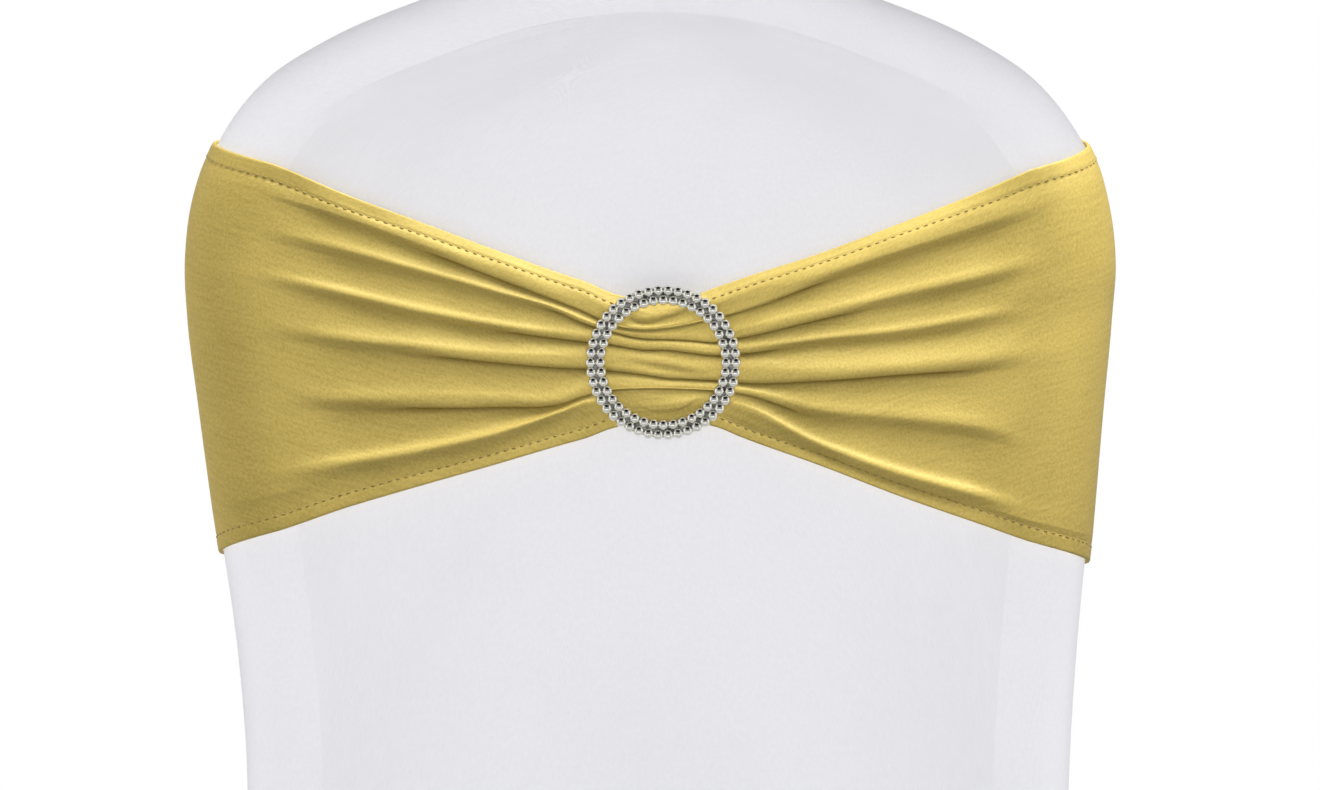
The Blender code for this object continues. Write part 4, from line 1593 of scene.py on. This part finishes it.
def stitch_mesh(length, thick):
    """A short thread that dips into the cloth at both ends, along X with Z off the cloth."""
    sides, steps = STITCH_SIDES, STITCH_STEPS
    points, faces = [], []
    for step in range(steps + 1):
        part = step / steps * 2 - 1
        radius = thick / 2 * math.sqrt(max(0.0, 1 - part**6)) + STITCH_END
        rise = thick * STITCH_STANDS * (1 - part**4) - thick * STITCH_DIPS * part**4
        for side in range(sides):
            turn = 2 * math.pi * side / sides
            points.append(
                (part * length / 2, radius * math.cos(turn), rise + radius * math.sin(turn)))
    for step in range(steps):
        for side in range(sides):
            here, there = (step * sides + at % sides for at in (side, side + 1))
            faces.append([here, there, there + sides, here + sides])
    faces += [list(reversed(range(sides))), [steps * sides + side for side in range(sides)]]
    mesh = bpy.data.meshes.new("stitch")
    mesh.from_pydata((np.array(points) * MM).tolist(), [], faces)
    work = bmesh.new()
    work.from_mesh(mesh)
    bmesh.ops.recalc_face_normals(work, faces=work.faces)
    work.to_mesh(mesh)
    work.free()
    mesh.shade_smooth()
    return mesh


print("a stitch has", STITCH_SIDES * STITCH_STEPS + 2, "faces")

# %% [markdown]
# A machine sews a hem at an even distance from its edge. So a sewing line is found on each column
# of a panel's grid, at that distance along the cloth, together with the way that the cloth faces.

# %% Lines to sew along
COVER_HEM = 15.0
HEM_ROWS = 20


def seam_on(grid, distances, outward_side=1.0):
    """Points on a grid at a distance from its first row, and which way the cloth faces there."""
    across = cloth_lengths(grid, 0)
    normals = unit(np.cross(np.gradient(grid, axis=1), np.gradient(grid, axis=0))) * outward_side
    points, facing = [], []
    for column, distance in enumerate(distances):
        for found, values in ((points, grid), (facing, normals)):
            found.append([
                np.interp(distance, across[:, column], values[:, column, axis]) for axis in range(3)])
    return np.array(points), unit(np.array(facing))


def line_mesh(strings):
    """Strings of points as edges, with the cloth's facing as an attribute."""
    mesh = bpy.data.meshes.new("sewing lines")
    points, facing, edges = [], [], []
    for string, ways in strings:
        first = len(points)
        points += (string * MM).tolist()
        facing += ways.tolist()
        edges += [(first + spot, first + spot + 1) for spot in range(len(string) - 1)]
    mesh.from_pydata(points, edges, [])
    attribute = mesh.attributes.new("facing", "FLOAT_VECTOR", "POINT")
    attribute.data.foreach_set("vector", np.array(facing, np.float32).ravel())
    return mesh


REAR_HEM_LINE, _ = seam_on(REAR_ROWS[:HEM_ROWS], [COVER_HEM] * REAR_ROWS.shape[1])
print("the rear hem is sewn over", round(float(lengths(REAR_HEM_LINE)[-1])), "mm")

# %% [markdown]
# The sash is stitched along both hems, with a heavier thread than the cover's. Inside and close to
# the buckle the gathers hide the stitches, so each line starts a little way out and runs round the
# front to the line of the other side.

# %% Sew the hems of the sash
STITCHES_FROM = 20.0


def sew(name, strings, length, thick, pitch, paint):
    stitch = new_object("stitch", stitch_mesh(length, thick))
    values = {"Stitch": stitch, "Pitch": pitch * MM, "Thread": paint}
    made = new_object(name, SEWING.made_from(line_mesh(strings), values, name))
    bpy.data.objects.remove(stitch, do_unlink=True)
    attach(made, "root")
    print(name, "faces:", len(made.data.polygons))
    return made


def sash_stitch_lines():
    places = [column[0] for column in sash_columns()]
    roll = len(SASH_ROLL)
    face = SASH_ROWS[roll:-roll]
    strings = []
    for grid, way in ((face, -1.0), (face[::-1], 1.0)):
        points, facing = seam_on(grid, [stitch_from_edge(place) for place in places], way)
        for side in (-1, 1):
            columns = [k for k, place in enumerate(places) if place * side > STITCHES_FROM]
            if side > 0:
                # the band is closed, so this line ends on its first column
                columns.append(0)
            strings.append((points[columns], facing[columns]))
    return strings


sash_strings = sash_stitch_lines()
middle_facing = sash_strings[0][1][len(sash_strings[0][1]) // 2]
print("cloth faces", np.round(middle_facing, 2), "half-way along the top hem on the left")
SASH_STITCHES = sew(
    "sash_stitches", sash_strings, length=2.0, thick=0.50, pitch=3.5,
    paint=SHADE_DARKENED_GOLD_THREAD)

# %% [markdown]
# The cover's hems are wider and plainer. Only the first rows of each panel are searched for the
# line, because it lies near the hem.

# %% Sew the hems of the cover
def cover_stitch_lines():
    strings = []
    for grid, outward in (
        (REAR_ROWS, (0, -1, 0)),
        (FRONT_ROWS, (0, 1, 0)),
        (SIDE_ROWS["left"], (-1, 0, 0)),
        (SIDE_ROWS["right"], (1, 0, 0)),
    ):
        points, facing = seam_on(grid[:HEM_ROWS], [COVER_HEM] * grid.shape[1])
        facing *= np.sign((facing @ np.array(outward, float)).sum())
        strings.append((points, facing))
    return strings


COVER_STITCHES = sew(
    "cover_stitches", cover_stitch_lines(), length=2.1, thick=0.36, pitch=3.0,
    paint=WHITE_THREAD)

# %% [markdown]
# ## Floor, light and camera
#
# The floor is a pale disc with a faint mottle.

# %% Floor
def floor_paint():
    paint = Paint("pale_floor", (0.7, 0.7, 0.7), 0.8)
    shade = paint.noise(paint.object_place(), 3.0, 3.0)
    greys = paint.shades(shade, (0.3, (0.68, 0.68, 0.68)), (0.7, (0.72, 0.72, 0.72)))
    paint.plug(greys, "Base Color")
    return paint.material


def floor_disc(radius=2.5, sides=96):
    mesh = bpy.data.meshes.new("floor")
    turns = np.linspace(0, 2 * math.pi, sides, endpoint=False)
    rim = [(radius * math.cos(turn), radius * math.sin(turn), 0.0) for turn in turns]
    mesh.from_pydata(rim, [], [list(range(sides))])
    mesh.materials.append(floor_paint())
    return new_object("floor", mesh)


FLOOR = floor_disc()
print("floor:", len(FLOOR.data.vertices), "points round its rim")

# %% [markdown]
# The studio's walls are plain and dimmer than the soft boxes. High behind the camera hangs a dark
# card, which gives the stones and the plating something dark to reflect. The camera itself sees
# pure white where there is no object, so the light that falls and the backdrop are set apart.

# %% World
WALLS = 0.38
CARD = 0.02
CARD_HEIGHT = math.radians(46)
# How near to the card's middle a direction is where the card is fully dark, and where it ends
CARD_FULL, CARD_EDGE = 0.92, 0.74


def studio_world():
    world = bpy.data.worlds.new("studio")
    bpy.context.scene.world = world
    world.use_nodes = True
    nodes, links = world.node_tree.nodes, world.node_tree.links
    nodes.clear()
    direction = nodes.new("ShaderNodeTexCoord")
    toward = nodes.new("ShaderNodeVectorMath")
    toward.operation = "DOT_PRODUCT"
    toward.inputs[1].default_value = (0.0, -math.cos(CARD_HEIGHT), math.sin(CARD_HEIGHT))
    links.new(direction.outputs["Generated"], toward.inputs[0])
    card = nodes.new("ShaderNodeMapRange")
    card.interpolation_type = "SMOOTHSTEP"
    for name, value in (
        ("From Min", CARD_EDGE),
        ("From Max", CARD_FULL),
        ("To Min", WALLS),
        ("To Max", CARD),
    ):
        card.inputs[name].default_value = value
    links.new(toward.outputs["Value"], card.inputs["Value"])
    lit, seen, mix = (nodes.new(kind) for kind in (
        "ShaderNodeBackground", "ShaderNodeBackground", "ShaderNodeMixShader"))
    links.new(card.outputs["Result"], lit.inputs["Strength"])
    lit.inputs["Color"].default_value = (1.0, 1.0, 1.02, 1)
    seen.inputs["Color"].default_value = (1, 1, 1, 1)
    path = nodes.new("ShaderNodeLightPath")
    links.new(path.outputs["Is Camera Ray"], mix.inputs["Fac"])
    links.new(lit.outputs[0], mix.inputs[1])
    links.new(seen.outputs[0], mix.inputs[2])
    out = nodes.new("ShaderNodeOutputWorld")
    links.new(mix.outputs[0], out.inputs["Surface"])


studio_world()
print("walls at", WALLS, "and card at", CARD, "of full white")

# %% [markdown]
# Matt white, soft gold and mirror stones each need their own light, so each soft box falls only on
# the pieces that it is meant for. Boxes on both sides and near the camera keep the cover an even
# white. One high box from the right models the folds of the sash, with a small wing for their right
# ends and a wide one that lightens the left rim without a shine. Four boxes round the buckle are
# what the stones sparkle with.

# %% Soft boxes
def aimed(name, data, place, at):
    """A light or camera at a place, looking at a point."""
    made = new_object(name, data)
    made.location = place
    made.rotation_euler = (Vector(at) - Vector(place)).to_track_quat("-Z", "Y").to_euler()
    return made


BACK_MIDDLE = Vector((0.0, -0.23, 0.75))


def group_of(name, pieces):
    group = bpy.data.collections.new(name)
    for piece in pieces:
        group.objects.link(piece)
    return group


def soft_box(name, around, up, away, size, power, falls_on, shaded_by=None):
    """A big soft light round the chair, for the given pieces."""
    around, up = math.radians(around), math.radians(up)
    way = Vector((math.sin(around) * math.cos(up), -math.cos(around) * math.cos(up), math.sin(up)))
    data = bpy.data.lights.new(name, "AREA")
    data.shape = "RECTANGLE"
    data.size, data.size_y = size
    data.energy = power
    made = aimed(name, data, BACK_MIDDLE + way * away, BACK_MIDDLE)
    made.visible_camera = False
    made.light_linking.receiver_collection = group_of(name + " falls on", falls_on)
    if shaded_by:
        made.light_linking.blocker_collection = group_of(name + " shaded by", shaded_by)
    return made


COVER_PIECES = [*COVER.values(), COVER_STITCHES, FLOOR]
SASH_PIECES = [SASH, SASH_STITCHES]
BUCKLE_PIECES = [RING, STONES, BAR]
# Each box: name, degrees round to the right, degrees up, metres away, width and height, watts
COVER_BOXES = (
    ("soft_box_left", -66, 15, 4.0, (2.6, 2.6), 90.0),
    ("soft_box_right", 66, 15, 4.0, (2.6, 2.6), 92.0),
    ("soft_box_front", 0, 8, 4.0, (2.0, 1.5), 45.0),
)
SASH_BOXES = (
    ("soft_box_high", 43, 62, 1.8, (1.3, 1.0), 68.0),
    ("soft_box_right_wing", 32, 35, 0.8, (0.5, 0.5), 1.9),
    ("soft_box_left_edge", -92, 10, 3.0, (1.5, 1.5), 50.0),
)
BUCKLE_BOXES = (
    ("buckle_box_low", 0, -38, 1.6, (2.0, 0.9), 9.0),
    ("buckle_box_high", 0, 88, 1.6, (2.2, 1.0), 4.5),
    ("buckle_box_left", -66, 8, 1.6, (1.1, 1.6), 3.4),
    ("buckle_box_right", 66, 8, 1.6, (1.1, 1.6), 3.4),
)
LIGHTS = [soft_box(*box, COVER_PIECES, COVER_PIECES) for box in COVER_BOXES]
LIGHTS += [soft_box(*box, SASH_PIECES, SASH_PIECES) for box in SASH_BOXES]
LIGHTS[-1].visible_glossy = False
LIGHTS += [soft_box(*box, BUCKLE_PIECES) for box in BUCKLE_BOXES]
print("soft boxes:", len(LIGHTS))

# %% [markdown]
# A long lens far away flattens the view, so the top and the bottom of the back are seen from almost
# the same angle. The lens and the width that it has to take in give the camera's distance.

# %% Camera
LENS = 300.0
SENSOR = 36.0
VIEW_WIDTH = 0.541
VIEW_HEIGHT = 0.7415
VIEW_X = 0.002
distance = VIEW_WIDTH * LENS / SENSOR
camera = bpy.data.cameras.new("camera")
camera.lens, camera.sensor_width = LENS, SENSOR
face_y = float(rear_y(VIEW_HEIGHT / MM)) * MM
view = aimed("camera", camera, (VIEW_X, face_y - distance, VIEW_HEIGHT), (VIEW_X, face_y, VIEW_HEIGHT))
bpy.context.scene.camera = view
bpy.context.scene.view_settings.view_transform = "Standard"
print("camera stands", round(distance, 3), "m from the rear face")

# %% [markdown]
# ## Finish
#
